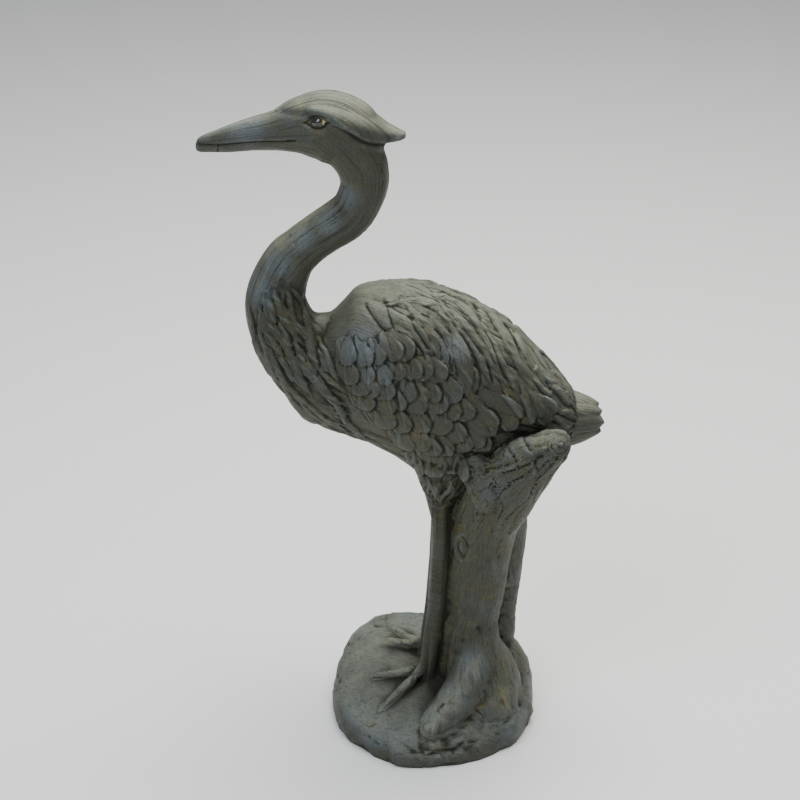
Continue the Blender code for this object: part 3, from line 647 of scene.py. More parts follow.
THICK_TO = 0.62
TIP_WIDTH = 0.12
LIMB_SIDES = 64


def lock_tree():
    """Nodes that press tapering locks onto the bare form, along a curve for each."""
    tree, ask, ends = new_tree("pressed_locks", {
        "Object": ["Lines", "Skin"], "Float": ["Step", "Height", "Sink", "Seen From Side"],
        "Material": ["Material"]})
    skin = geometry_of(tree, ask["Skin"])
    line = add(tree, "GeometryNodeResampleCurve",
               {"Curve": geometry_of(tree, ask["Lines"]), "Length": ask["Step"]}, mode="LENGTH")
    hit = struck_from_side(tree, skin, ask["Seen From Side"])
    side_on = calc(tree, "GREATER_THAN", calc(tree, "ABSOLUTE", ask["Seen From Side"]), 0.5)
    struck = add(tree, "FunctionNodeBooleanMath", {0: hit.outputs["Is Hit"], 1: side_on})
    line = moved(tree, line, Selection=struck, Position=hit.outputs["Hit Position"])
    line = laid_on(tree, line, skin, 0.0)
    out = nearest(tree, skin, add(tree, "GeometryNodeInputNormal"))
    line = add(tree, "GeometryNodeSetCurveNormal", {"Curve": line, "Normal": out}, mode="FREE")
    spline = add(tree, "GeometryNodeSplineParameter")
    share = spline.outputs["Factor"]
    taper = times(tree, slope(tree, share, 0.0, THICK_FROM, START_WIDTH),
                  slope(tree, share, THICK_TO, 1.0, 1.0, TIP_WIDTH))
    breadth = times(tree, add(tree, "GeometryNodeInputRadius"), taper)
    line = kept(tree, line, "along", spline.outputs["Length"])
    line = kept(tree, line, "breadth", breadth)
    lens = add(tree, "GeometryNodeCurvePrimitiveCircle", {"Resolution": 14, "Radius": 1.0})
    spot = parts_of(tree, here(tree))
    above = times(tree, calc(tree, "MAXIMUM", spot["X"], 0.0), ask["Height"])
    below = times(tree, calc(tree, "MINIMUM", spot["X"], 0.0), ask["Sink"])
    flat = vector(tree, calc(tree, "ADD", above, below), spot["Y"])
    lens = kept(tree, moved(tree, lens, Position=flat), "beside", spot["Y"])
    breadth = named(tree, "breadth")
    even = add(tree, "GeometryNodeSetCurveRadius", {"Curve": line, "Radius": 1.0})
    swept = add(tree, "GeometryNodeCurveToMesh",
                {"Curve": even, "Profile Curve": lens, "Scale": breadth, "Fill Caps": True})
    run = calc(tree, "DIVIDE", named(tree, "along"), UNIT)
    off = calc(tree, "DIVIDE", times(tree, named(tree, "beside"), breadth), UNIT)
    marked = kept(tree, swept, "flow", vector(tree, run, off), "FLOAT_VECTOR")
    finished(tree, marked, ask["Material"], ends)
    return tree


def line_object(name, lines):
    """One object of many open lines, each with its own half width stored on its points."""
    curve = bpy.data.curves.new(name, "CURVE")
    curve.dimensions = "3D"
    for points, half in lines:
        path = smooth_path(points, 6)
        spline = curve.splines.new("POLY")
        spline.points.add(len(path) - 1)
        rows = np.column_stack([to_world(path), np.ones(len(path))])
        spline.points.foreach_set("co", rows.ravel())
        spline.points.foreach_set("radius", np.full(len(path), half * UNIT))
    return put(name, curve)


def press(name, lines, side=0.0, height=0.5, sink=0.5):
    """Press locks along lines onto the bare form, seen from a side or where they lie."""
    guide = line_object(name + "_lines", lines)
    made = grown(name, pressed_locks, {
        "Lines": guide, "Skin": bare_form, "Step": PLUME_STEP * UNIT, "Height": height,
        "Sink": sink, "Seen From Side": float(side), "Material": plumage})
    add_form(made, LOCK)
    bpy.data.objects.remove(guide)


def breast_lines(count):
    """Loose strands from the neck's base over the breast, seen from the side."""
    front = smooth_path([(-212, 500), (-203, 450), (-176, 395), (-135, 345), (-96, 318)], 8)
    rear = smooth_path([(-168, 545), (-152, 500), (-130, 456), (-100, 418), (-66, 390)], 8)
    lines = []
    for index in range(count):
        share = (index % 9) / 8
        strand = front + (rear - front) * share
        start = int(draw.uniform(0, 19))
        length = int(draw.uniform(9, 15))
        piece = strand[start:start + length:3]
        sway = 5 * np.sin(np.linspace(0, 3.6, len(piece)) + draw.uniform(0, 6))
        points = [(x + s * 0.6, 0, z + s * 0.5) for (x, z), s in zip(piece, sway)]
        if len(points) > 2:
            lines.append((points, draw.uniform(3.4, 5.6)))
    return lines


def around_lines(stations, first, last, count):
    """Locks down a limb, side by side round it."""
    rings = limb_rings(stations)
    lines = []
    for index in range(count):
        start = index * LIMB_SIDES / count
        points = []
        for ring in range(first + int(draw.integers(0, 4)), last, 3):
            place = start + 1.5 * math.sin(ring * 0.35 + index * 2.1)
            lower, part = int(math.floor(place)), place % 1
            points.append(tuple(rings[ring][lower % LIMB_SIDES] * (1 - part)
                                + rings[ring][(lower + 1) % LIMB_SIDES] * part))
        lines.append((points, draw.uniform(2.4, 3.8)))
    return lines


draw = np.random.default_rng(12)
pressed_locks = lock_tree()
for side in (-1, 1):
    press("plumes", [([(x, 0, z) for x, z in line], half) for line, half in PLUMES], side,
          height=0.25)
    press("breast_strands", breast_lines(44), side, height=0.6)
press("near_thigh_locks", around_lines(NEAR_THIGH, 3, 24, 22), height=0.7)
press("far_thigh_locks", around_lines(FAR_THIGH, 3, 24, 16), height=0.7)
press("tuft_locks", around_lines(TUFT_LINE, 8, 40, 14), height=0.7)

# The tail
# A short fan of broad feathers, the middle one on top and the others tucked under it in turn.
TAIL_ROOT = (118, 0, 350)
TAIL_FEATHERS = 7
TAIL_REACH = 77.0
TAIL_HALF_WIDTH = 18.0
TAIL_BEND = 7.0
TAIL_ROUND = 0.45
TAIL_FAN = math.radians(120)
TAIL_ACROSS = 15.0
TAIL_UP = 21.0
TAIL_CLOSING = 0.42
TAIL_TUCK = 0.12
TAIL_SHORT = 0.10
TAIL_LIFT = 4.2
TAIL_SINK = 7.0
HEM_PLACES = (124, 136, 148, 158)


def tail_fan_tree():
    """Nodes that set broad feathers round the tail's root, closing towards their tips."""
    tree, ask, ends = new_tree("tail_fan", {
        "Object": ["Feather"], "Vector": ["Root"], "Int": ["Feathers"],
        "Float": ["Reach", "Half Width", "Fan", "Across", "Up", "Closing"],
        "Material": ["Material"]})
    dots = add(tree, "GeometryNodePoints", {"Count": ask["Feathers"]})
    middle = calc(tree, "DIVIDE", calc(tree, "SUBTRACT", ask["Feathers"], 1), 2)
    number = add(tree, "GeometryNodeInputIndex")
    share = calc(tree, "DIVIDE", calc(tree, "SUBTRACT", number, middle), middle)
    turn = times(tree, share, ask["Fan"])
    aside = calc(tree, "SINE", turn)
    upward = calc(tree, "COSINE", turn)
    tuck = calc(tree, "SUBTRACT", 1, times(tree, calc(tree, "ABSOLUTE", share), TAIL_TUCK))
    short = calc(tree, "SUBTRACT", 1, times(tree, calc(tree, "ABSOLUTE", upward), TAIL_SHORT))
    offset = vector(tree, times(tree, ask["Reach"], short),
                    times(tree, aside, times(tree, ask["Across"], tuck)),
                    times(tree, upward, times(tree, ask["Up"], tuck)))
    dots = moved(tree, dots, Position=plus(tree, ask["Root"], offset))
    inward = times(tree, ask["Closing"], -1)
    way = vector(tree, 1.0, times(tree, aside, inward), times(tree, upward, inward))
    rotation = add(tree, "FunctionNodeAxesToRotation",
                   {"Primary Axis": way, "Secondary Axis": vector(tree, y=aside, z=upward)},
                   primary_axis="X", secondary_axis="Z")
    fan = add(tree, "GeometryNodeInstanceOnPoints",
              {"Points": dots, "Instance": geometry_of(tree, ask["Feather"]),
               "Rotation": rotation, "Scale": vector(tree, ask["Reach"], ask["Half Width"], 1.0)})
    finished(tree, fan, ask["Material"], ends)
    return tree


tail_leaf = put("tail_leaf", leaf_mesh("tail_leaf", TAIL_LIFT * UNIT, TAIL_SINK * UNIT, TAIL_ROUND,
                                       bend=TAIL_BEND * UNIT, solid=1))
add_form(grown("tail_feathers", tail_fan_tree(), {
    "Feather": tail_leaf, "Root": to_world(TAIL_ROOT), "Feathers": TAIL_FEATHERS,
    "Reach": TAIL_REACH * UNIT, "Half Width": TAIL_HALF_WIDTH * UNIT, "Fan": TAIL_FAN,
    "Across": TAIL_ACROSS * UNIT, "Up": TAIL_UP * UNIT, "Closing": TAIL_CLOSING,
    "Material": plumage}), FEATHER)


def hem_lines(count):
    """Short ragged locks that end the plumes all round the root of the tail."""
    stations = np.array(BODY_LINE)
    lines = []
    for index in range(count):
        turn = 2 * math.pi * index / count
        points = []
        for x in (*HEM_PLACES[:-1], HEM_PLACES[-1] + draw.uniform(-5, 5)):
            middle, tall, wide = (np.interp(x, stations[:, 0], stations[:, k]) for k in (2, 3, 4))
            lean = turn + draw.uniform(-0.12, 0.12)
            points.append((x, math.sin(lean) * wide, middle + math.cos(lean) * tall))
        lines.append((points, draw.uniform(3.5, 6.0)))
    return lines


press("tail_hem", hem_lines(18), height=0.42)

# The casting
# Everything above runs together into one skin, as the clay did before the mould was taken.
# The clay is smoothed over where the neck joins the back. The places, normals and stroke
# directions of the skin are then read out, for the tool marks that follow.
GRAIN = 0.00125
FACE_LIMIT = 196000
SKY_RAYS = 20
SHELTER_REACH = 0.3
RAY_LIFT = 0.0015
LOWEST_RAY = 0.15
RAY_SPREAD = 0.83
GOLDEN_TURN = 2.39996
NECK_AROUND = 30
BODY_AROUND = 88
THIGH_AROUND = 24
TRUNK_AROUND = 34


def marked_skin_tree():
    """Nodes that carry the kind and the stroke directions from the forms to the skin."""
    tree, ask, ends = new_tree("carried_marks", {"Geometry": ["Geometry"], "Object": ["Forms"]})
    source = geometry_of(tree, ask["Forms"])
    geometry = ask["Geometry"]
    for name, kind in (("kind", "FLOAT"), ("flow", "FLOAT_VECTOR")):
        near = nearest(tree, source, named(tree, name, kind), kind)
        geometry = kept(tree, geometry, name, near, kind)
    tree.links.new(geometry, ends.inputs[0])
    return tree


def sheltered_tree():
    """Nodes that look up from each point and store how much of the sky the casting hides."""
    tree, ask, ends = new_tree("shelter", {"Geometry": ["Geometry"], "Float": ["Reach"]})
    lift = scaled(tree, add(tree, "GeometryNodeInputNormal"), RAY_LIFT)
    start = plus(tree, here(tree), lift)
    total = 0.0
    for index in range(SKY_RAYS):
        rise = LOWEST_RAY + RAY_SPREAD * (index + 0.5) / SKY_RAYS
        level = math.sqrt(1 - rise ** 2)
        turn = index * GOLDEN_TURN
        hit = add(tree, "GeometryNodeRaycast", {
            "Target Geometry": ask["Geometry"], "Source Position": start,
            "Ray Direction": (level * math.cos(turn), level * math.sin(turn), rise),
            "Ray Length": ask["Reach"]})
        total = calc(tree, "ADD", total, hit.outputs["Is Hit"])
    share = calc(tree, "DIVIDE", total, SKY_RAYS)
    tree.links.new(kept(tree, ask["Geometry"], "shelter", share), ends.inputs[0])
    return tree


clay = joined(forms, "clay")
skin = grown("casting", marked_skin_tree(), {"Forms": clay}, run_together(forms, GRAIN, 2))
count = len(skin.vertices)
places = read(skin.vertices, "co", 3)
normals = read(skin.vertices, "normal", 3)
one_end, other_end = read(skin.edges, "vertices", 2, np.int32).T
neighbours = np.bincount(one_end, minlength=count) + np.bincount(other_end, minlength=count)


def evened(values, passes):
    """Blend each point's value with its neighbours', over and over."""
    for _ in range(passes):
        total = np.bincount(one_end, values[other_end], count)
        total += np.bincount(other_end, values[one_end], count)
        values = 0.5 * values + 0.5 * total / neighbours
    return values


def ease(low, high, value):
    """Rise smoothly from 0 at low to 1 at high."""
    share = np.clip((value - low) / (high - low), 0, 1)
    return share * share * (3 - 2 * share)


JOIN = (-116, 0, 480)
JOIN_REACH = 42.0
JOIN_PASSES = 60
drawn = to_drawn(places)
by_join = ease(JOIN_REACH, 0.5 * JOIN_REACH, np.linalg.norm(drawn - JOIN, axis=1))
smoothed = np.column_stack([evened(column, JOIN_PASSES) for column in places.T])
places = places + (smoothed - places) * by_join[:, None]
drawn = to_drawn(places)
kinds = read(skin.attributes["kind"].data, "value")
flow = read(skin.attributes["flow"].data, "vector", 3)
shares = np.array([np.abs(kinds - kind) < 0.5 for kind in range(9)], dtype=float)


def noise(first, second, third, seed):
    """Smooth noise from -1 to 1 at three columns already divided by their own grain."""
    spots = np.column_stack([first, second, third + np.zeros(len(first))])
    cell = np.floor(spots).astype(np.int64)
    part = spots - cell
    blend = part * part * (3 - 2 * part)
    total = np.zeros(len(spots))
    for corner in itertools.product((0, 1), repeat=3):
        key = cell + np.array(corner)
        mixed = key[:, 0] * 73856093 ^ key[:, 1] * 19349663 ^ key[:, 2] * 83492791
        mixed = mixed ^ seed * 2654435
        mixed = (mixed ^ (mixed >> 13)) * 1274126177 & 0x7FFFFFFF
        mixed = (mixed ^ (mixed >> 15)) * 668265263 & 0x7FFFFFFF
        weight = np.prod(np.where(corner, blend, 1 - blend), axis=1)
        total += weight * (mixed / 0x3FFFFFFF - 1)
    return total


def noise_at(spots, grain, seed):
    """Smooth noise from -1 to 1 at places, by its grain along x, y and z in millimetres."""
    return noise(*(spots / grain).T, seed)


def crease(values, width):
    """A narrow groove or ridge where values pass through nought, 1 deep in its middle."""
    return np.exp(-(values / width) ** 2)


def off_line(x, z, points):
    """How far each place is from an open line, in side view, and which side of it."""
    best = np.full(len(x), 1e9)
    above = np.zeros(len(x))
    for (ax, az), (bx, bz) in zip(points, points[1:]):
        run = np.array([bx - ax, bz - az])
        share = np.clip(((x - ax) * run[0] + (z - az) * run[1]) / (run @ run), 0, 1)
        gap = np.hypot(x - ax - run[0] * share, z - az - run[1] * share)
        nearer = gap < best
        best = np.where(nearer, gap, best)
        above = np.where(nearer, np.sign((z - az) * run[0] - (x - ax) * run[1]), above)
    return best, above


def limb_flow(places, path, around):
    """How far along a limb's line each place is, and how far round it."""
    spots = path[:, :3]
    ways, sides, fronts = line_frame(np.gradient(spots, axis=0))
    run = np.concatenate([[0], np.cumsum(np.linalg.norm(np.diff(spots, axis=0), axis=1))])
    best = np.full(len(places), 1e9)
    near = np.zeros(len(places), dtype=int)
    for index, spot in enumerate(spots):
        gap = ((places - spot) ** 2).sum(axis=1)
        closer = gap < best
        best[closer] = gap[closer]
        near[closer] = index
    offset = places - spots[near]
    ahead, aside, forward = ((offset * way[near]).sum(axis=1) for way in (ways, sides, fronts))
    return run[near] + ahead, np.arctan2(aside, forward) * around


def neck_flow(places):
    """Along and round the head and neck."""
    return limb_flow(places, smooth_path(HEAD_LINE[4:8] + NECK_LINE[2:], 8), NECK_AROUND)


def shank_flow(places):
    """Down the shanks, then along the toes."""
    upright = ease(-12, 6, places[:, 2])
    return places[:, 2] * upright - places[:, 0] * (1 - upright), places[:, 1]


def body_flow(places):
    """How far along the body each place is, and how far round, swept down to the tail."""
    path = smooth_path(BODY_LINE, 6)
    x = places[:, 0]
    centre, tall, wide = (np.interp(x, path[:, 0], path[:, k]) for k in (2, 3, 4))
    angle = np.arctan2(np.abs(places[:, 1]) / wide, (places[:, 2] - centre) / tall)
    drop = 62 * (1 - np.exp(-(x + 130) / 70)) + 0.18 * (x + 130)
    warp = noise(x / 46, angle * 3, 0, 3) * 7
    return x, angle * BODY_AROUND - drop + warp


def thigh_flow(places):
    """Down the thighs and round the middle between them."""
    return places[:, 2], np.arctan2(places[:, 1] - 10, places[:, 0] - 5) * THIGH_AROUND


def wood_flow(places):
    """Up the trunk and round it."""
    return limb_flow(places, smooth_path(TRUNK, 6), TRUNK_AROUND)


def rock_flow(places):
    """Across the rock's top and down its sides."""
    return (places[:, :2] + 0.8 * places[:, 2:]).T


for kind, finder in ((HEAD, neck_flow), (NECK, neck_flow), (BODY, body_flow), (THIGH, thigh_flow),
                     (SHANK, shank_flow), (WOOD, wood_flow), (ROCK, rock_flow)):
    chosen = shares[kind] > 0.5
    flow[chosen, 0], flow[chosen, 1] = finder(drawn[chosen])
along, across = flow[:, 0], flow[:, 1]
depth = np.zeros(count)
x, y, z = drawn.T

# The marks
# Strokes of the modelling tool along the plumes, feathers and neck, on the back, under the
# belly and down the thighs. Heights are in millimetres, and a furrow is its x and z in side view.
FURROW_DEPTH = 1.5
FURROW_RIM = 0.5
FURROWS = [[(-11, 521), (19, 492), (38, 465), (46, 436), (43, 407)],
           [(6, 535), (40, 502), (61, 468), (74, 436), (84, 416)],
           [(66, 504), (83, 480), (96, 446), (113, 424), (128, 408)],
           [(100, 485), (115, 451), (134, 424), (147, 412)],
           [(-40, 528), (0, 515), (28, 488), (52, 456), (60, 430)],
           [(36, 520), (70, 490), (92, 456), (108, 434)],
           [(-77, 508), (-67, 497), (-57, 488)], [(-58, 512), (-55, 503), (-47, 490)],
           [(-31, 501), (-22, 485), (-11, 470)], [(-39, 485), (-24, 475), (-14, 460)],
           [(-30, 470), (-18, 458), (-7, 456)]]
streak = noise(across / 9, along / 130, np.sign(y), 11)
fine = noise(across / 4.2, along / 80, np.sign(y), 12)
plumes = 1.3 * streak + 0.7 * fine - 1.2 * crease(streak, 0.14) - 0.6 * crease(fine, 0.16)
depth += shares[BODY] * plumes * ease(-0.2, 0.2, normals[:, 2] + 0.35) * ease(-92, -50, x)
under = noise((z + 0.35 * x) / 7, (x - z) / 60, np.sign(y), 17)
under = 1.2 * under - 0.8 * crease(under, 0.15)
depth += shares[BODY] * under * ease(-0.05, -0.3, normals[:, 2])
barbs = noise((across + 0.6 * along) / 4.4, along / 34, x / 16 + z / 21, 13)
barbs = 1.2 * barbs - 0.7 * crease(barbs, 0.2)
barbs *= 1 - 0.65 * ease(150, 164, x)
depth += (shares[FEATHER] + 0.7 * shares[LOCK]) * barbs
soft = np.flatnonzero((shares[BODY] + shares[LOCK] > 0.5) & (np.abs(y) > 6))
for line in FURROWS:
    wander = 2.0 * noise(x[soft] / 18, z[soft] / 18, np.sign(y[soft]), 61)
    gap = off_line(x[soft] + wander, z[soft], smooth_path(line, 4))[0]
    depth[soft] += FURROW_RIM * crease(gap - 4, 2.5) - FURROW_DEPTH * crease(gap, 1.7)
low_down = ease(215, 330, along)
neck_streak = noise(across / 10, along / 110, 0, 21)
neck_fine = noise(across / 5, along / 60, 0, 22)
depth *= 1 - 0.7 * by_join
neck = 0.9 * neck_streak - 0.9 * crease(neck_streak, 0.12) + low_down * 1.1 * neck_fine
depth += shares[NECK] * neck * ease(20, 90, along)
depth += shares[THIGH] * 1.8 * noise(across / 6, along / 40, 0, 51)

# The face
# The mouth, an almond eye in its lids under a brow, and the raised edge of the cap.
MOUTH = [(-263, 687), (-249, 687), (-234, 687), (-208, 690), (-187, 692), (-164, 693),
         (-153, 695)]
MOUTH_NICK = [(-236, 686), (-237, 676)]
EYE = (-128.5, 718)
EYE_HALF_LENGTH = 9.0
EYE_HALF_HEIGHT = 4.8
BROW = [(-167, 724), (-153, 724), (-143, 724), (-134, 726), (-124, 726), (-114, 722)]
CAP_EDGE = [(-116, 719), (-108, 716), (-93, 708), (-81, 699), (-69, 694), (-56, 691), (-44, 692)]
MOUTH_CORNER = (-160, 692)
MOUTH_DEPTH = 1.9
BILL_STEP = 0.9
NICK_DEPTH = 1.2
CORNER_DEPTH = 1.6
EYE_TILT = 0.10
EYE_BULGE = 2.6
LID_RISE = 1.1
SOCKET_DEPTH = 2.4
FACE_ABOVE = 640
head = np.flatnonzero((kinds < 1.5) & (z > FACE_ABOVE))
hx, hy, hz = drawn[head].T
sided = ease(1.0, 4.0, np.abs(hy))
gap, above = off_line(hx, hz, MOUTH)
mouth = -MOUTH_DEPTH * crease(gap, 1.5)
lower_bill = -BILL_STEP * ease(0, 2.0, -gap * above) * ease(-160, -170, hx)
nick = -NICK_DEPTH * crease(off_line(hx, hz, MOUTH_NICK)[0], 1.3)
corner = -CORNER_DEPTH * crease(np.hypot(hx - MOUTH_CORNER[0], hz - MOUTH_CORNER[1]), 4)
ex = (hx - EYE[0]) + EYE_TILT * (hz - EYE[1])
ez = (hz - EYE[1]) - EYE_TILT * (hx - EYE[0])
narrowing = (1 - 0.35 * (ex / EYE_HALF_LENGTH) ** 2).clip(0.3)
almond = np.hypot(ex / EYE_HALF_LENGTH, ez / (EYE_HALF_HEIGHT * narrowing))
ball = EYE_BULGE * np.sqrt(np.clip(1 - (almond / 0.82) ** 2, 0, 1))
lids = LID_RISE * crease(almond - 1.05, 0.2)
socket = -SOCKET_DEPTH * crease(almond - 1.0, 0.9) * (almond < 3)
gap, above = off_line(hx, hz, BROW)
brow = -0.7 * crease(gap, 3.0) + 0.6 * crease(gap * above - 6, 4)
gap, above = off_line(hx, hz, CAP_EDGE)
cap = crease(gap * above - 2.5, 2.2) - 1.3 * crease(gap * above + 2.0, 2.2)
depth[head] += sided * (mouth + lower_bill + nick + corner + ball + lids + socket + brow + cap)
eye_share = np.zeros(count)
eye_share[head] = ease(0.9, 0.75, almond) * ease(5, 10, np.abs(hy))

# The bark, the sawn end and the knot
# Long creases up the stem, short wrinkles across it, rings on the saw cut, a healed knot.
KNOT = (32, 198)
KNOT_HALF_WIDTH = 5.5
KNOT_HALF_HEIGHT = 14.0
RING_CENTRE = (135, -69, 354)
RING_FACING = (0.14, -0.85, 0.50)
RING_GROOVES = [(4.8, 1.9), (8.7, 1.1), (12.6, 1.7), (17.0, 1.2)]
CLEFTS = [[(95, 374), (98, 363), (104, 354)], [(72, 322), (90, 331), (104, 338), (116, 349)],
          [(109, 341), (113, 330)], [(78, 352), (86, 344), (90, 334)]]
GROOVE_WIDTH = 1.1
KNOT_RIM = 1.8
KNOT_DEPTH = 3.2
KNOT_HEART = 1.2
CLEFT_DEPTH = 1.7
CLEFT_RIM = 0.6
wood = np.flatnonzero(kinds == WOOD)
on_wood = drawn[wood]
wx, wy, wz = on_wood.T
swirl = 9 * noise_at(on_wood, 24, 36) * ease(225, 300, wz) + 3 * noise_at(on_wood, (30, 30, 40), 37)
grain = noise((across[wood] + swirl) / 8, (along[wood] + swirl) / 70, 0, 31)
thin = noise((across[wood] + swirl) / 4.6, (along[wood] + swirl) / 40, 0, 33)
bumps = noise_at(on_wood, (26, 26, 22), 32)
wrinkles = noise_at(on_wood, (30, 30, 3.6), 34) * ease(150, 120, wz) * ease(20, 60, wz)
high_up = ease(225, 290, wz)
bark = 1.5 * grain - 1.3 * crease(grain, 0.12) + 0.7 * thin + 1.5 * bumps + 0.9 * wrinkles
bark += high_up * (0.3 * thin - 0.5 * crease(thin, 0.16) - 0.6 * bumps)
near_side = ease(0, -12, wy)
up_knot = (wz - KNOT[1]) / KNOT_HALF_HEIGHT
ring = np.hypot((wx - KNOT[0]) / (KNOT_HALF_WIDTH * (1 - 0.3 * up_knot ** 2).clip(0.3)), up_knot)
knot = KNOT_RIM * crease(ring - 1.5, 0.45) - KNOT_DEPTH * crease(ring - 0.95, 0.28)
knot += KNOT_HEART * crease(ring, 0.5)
from_core = on_wood - np.array(RING_CENTRE)
reach = np.linalg.norm(from_core, axis=1)
facing = np.array(RING_FACING) / np.linalg.norm(RING_FACING)
bow = np.arccos(np.clip(from_core @ facing / reach, -1, 1)) * CUT_RADIUS
bow += 0.9 * noise_at(on_wood, 9, 35)
rings = crease(bow, 2.6)
for groove, deep in RING_GROOVES:
    rings = rings - deep * crease(bow - groove, GROOVE_WIDTH)
on_cut = ease(19, 15, bow) * ease(30, 24, reach)
clefts = 0.0
for line in CLEFTS:
    gap = off_line(wx + swirl * 0.2, wz, line)[0]
    clefts = clefts - CLEFT_DEPTH * crease(gap, 1.7) + CLEFT_RIM * crease(gap - 4.5, 2.2)
depth[wood] += (bark + near_side * (knot + clefts)) * (1 - on_cut) + on_cut * rings

# The broken stone
# Lumps and ledges, rough round the broken rim and worn smoother where the feet stand.
# The ledge is the line, seen from above, where the front of the rim has broken away.
LUMP_GRAIN, LUMP_HEIGHT = (40, 40, 26), 2.6
CHIP_GRAIN, CHIP_HEIGHT = (15, 15, 11), 2.0
CRUMB_GRAIN, CRUMB_HEIGHT = (5, 5, 4), 0.7
SPLIT_DEPTH = 1.6
LEDGE = [(-132, -30), (-118, -58), (-91, -85), (-70, -76), (-45, -101), (-34, -100), (2, -76),
         (49, -72), (98, -88), (124, -60)]
LEDGE_DROP = 2.4
LEDGE_GROOVE = 1.2
stone = np.flatnonzero(kinds == ROCK)
on_stone = drawn[stone]
sx, sy, sz = on_stone.T
chips = noise_at(on_stone, CHIP_GRAIN, 42)
split = noise(sx / 34 + 0.4 * chips, sy / 34, sz / 20, 44)
broken = LUMP_HEIGHT * noise_at(on_stone, LUMP_GRAIN, 41) + CHIP_HEIGHT * chips
broken += CRUMB_HEIGHT * noise_at(on_stone, CRUMB_GRAIN, 43) - SPLIT_DEPTH * crease(split, 0.09)
depth[stone] += (0.35 + 0.9 * ease(75, 115, np.hypot(sx, sy))) * broken
front = np.flatnonzero((z < 14) & (y < -20) & ((kinds == ROCK) | (kinds == WOOD)))
on_front = drawn[front]
facing_up = normals[front, 2]
gap, above = off_line(on_front[:, 0] + 3 * noise_at(on_front, 16, 71), on_front[:, 1], LEDGE)
outside = ease(0, 5, -gap * above) * ease(-0.1, 0.35, facing_up)
pits = noise_at(on_front, (7, 7, 6), 72)
broken = 2.0 * noise_at(on_front, (12, 12, 9), 73) - LEDGE_DROP + 1.1 * pits - crease(pits, 0.2)
depth[front] += outside * broken - LEDGE_GROOVE * crease(gap, 1.8) * ease(0.1, 0.4, facing_up)

depth = evened(depth, 1)
places = places + normals * (depth * UNIT)[:, None]
skin.vertices.foreach_set("co", places.ravel())
skin.update()


def hollows(passes):
    """How deep each point lies below its surroundings in millimetres, raised points below 0."""
    mean = np.column_stack([evened(column, passes) for column in places.T])
    return ((mean - places) * normals).sum(axis=1) / UNIT


# Values stored for the finish: where a painted blue sheen, standing in for the cool light's
# reflection, lies on the coat, each patch as x, y, z and reach, how hollow each place is, what it
# is made as, and which way its strokes run.
BLUE_SHEEN_PATCHES = [(-84, -52, 470, 30), (-66, -58, 440, 24), (-98, -20, 634, 16),
                (-122, -20, 606, 18), (-150, -22, 586, 18), (-176, -22, 556, 20),
                (-194, -22, 524, 22), (-205, -8, 705, 26), (44, -52, 40, 22), (20, -72, 12, 20),
                (-4, -88, -8, 20), (-100, -66, -14, 26), (-72, -94, -26, 26),
                (-40, -104, -34, 22), (66, -62, 300, 22), (20, -60, 470, 18)]
bare_blue = np.zeros(count)
for px, py, pz, wide in BLUE_SHEEN_PATCHES:
    gap = np.linalg.norm(drawn - (px, py, pz), axis=1)
    bare_blue = np.maximum(bare_blue, ease(1.3 * wide, 0.3 * wide, gap))
give(skin, "bare_blue", bare_blue)

give(skin, "hollow", np.clip(hollows(6) * 1.6 + hollows(40) * 0.5, -1, 1))
for name, kinds_of in (("bird", (HEAD, NECK, BODY, THIGH, FEATHER, LOCK)), ("horn", (SHANK,)),
                       ("bark", (WOOD,)), ("stone", (ROCK,))):
    give(skin, name, evened(shares[list(kinds_of)].sum(axis=0), 8))
give(skin, "eye", eye_share)
finer = 1 - 0.6 * evened(shares[NECK] + shares[HEAD], 8)
give(skin, "strokes", flow * finer[:, None], "FLOAT_VECTOR")
for name in ("kind", "flow"):
    skin.attributes.remove(skin.attributes[name])


def drop_slivers(work):
    """Delete the stray faces that thinning can pinch off, and keep the largest shell."""
    left = set(work.faces)
    shells = []
    while left:
        found = [left.pop()]
        for face in found:
            for edge in face.edges:
                near = [other for other in edge.link_faces if other in left]
                found += near
                left.difference_update(near)
        shells.append(found)
    largest = max(shells, key=len)
    stray = [face for found in shells if found is not largest for face in found]
    bmesh.ops.delete(work, geom=stray, context="FACES")


# The skin is thinned, most where it is plain, and cut off level at the ground.
WORK_LEVELS = 5
MOST_THINNED = 0.6
casting = put("heron_casting", skin)
detail = casting.vertex_groups.new(name="plain")
worked = shares[FEATHER] + shares[LOCK] + 0.5 * shares[BODY] + shares[HEAD] + 0.4 * shares[NECK]
worked += shares[WOOD] * (0.2 + 0.6 * ease(210, 270, z))
for level in range(WORK_LEVELS + 1):
    chosen = np.flatnonzero(np.round(np.clip(worked, 0, 1) * WORK_LEVELS) == level)
    detail.add(chosen.tolist(), 1 - MOST_THINNED * level / WORK_LEVELS, "REPLACE")
fewer = casting.modifiers.new("fewer_faces", "DECIMATE")
fewer.ratio = FACE_LIMIT / (2 * len(skin.polygons))
fewer.vertex_group = "plain"
fewer.vertex_group_factor = 1.0
fewer.use_collapse_triangulate = True
thinned = mesh_as_shown(casting)
casting.modifiers.clear()
casting.vertex_groups.clear()
casting.data = thinned
work = bmesh.new()
work.from_mesh(thinned)
drop_slivers(work)
geometry = work.verts[:] + work.edges[:] + work.faces[:]
sawn = bmesh.ops.bisect_plane(work, geom=geometry, plane_co=(0, 0, 0), plane_no=(0, 0, 1),
                              clear_inner=True)
rim = [item for item in sawn["geom_cut"] if isinstance(item, bmesh.types.BMEdge)]
bmesh.ops.holes_fill(work, edges=rim, sides=0)
bmesh.ops.triangulate(work, faces=work.faces)
bmesh.ops.recalc_face_normals(work, faces=work.faces)
work.to_mesh(thinned)
work.free()
thinned = grown("heron_casting", sheltered_tree(), {"Reach": SHELTER_REACH}, thinned)
thinned.shade_smooth()
casting.data = thinned
print("faces", len(thinned.polygons))
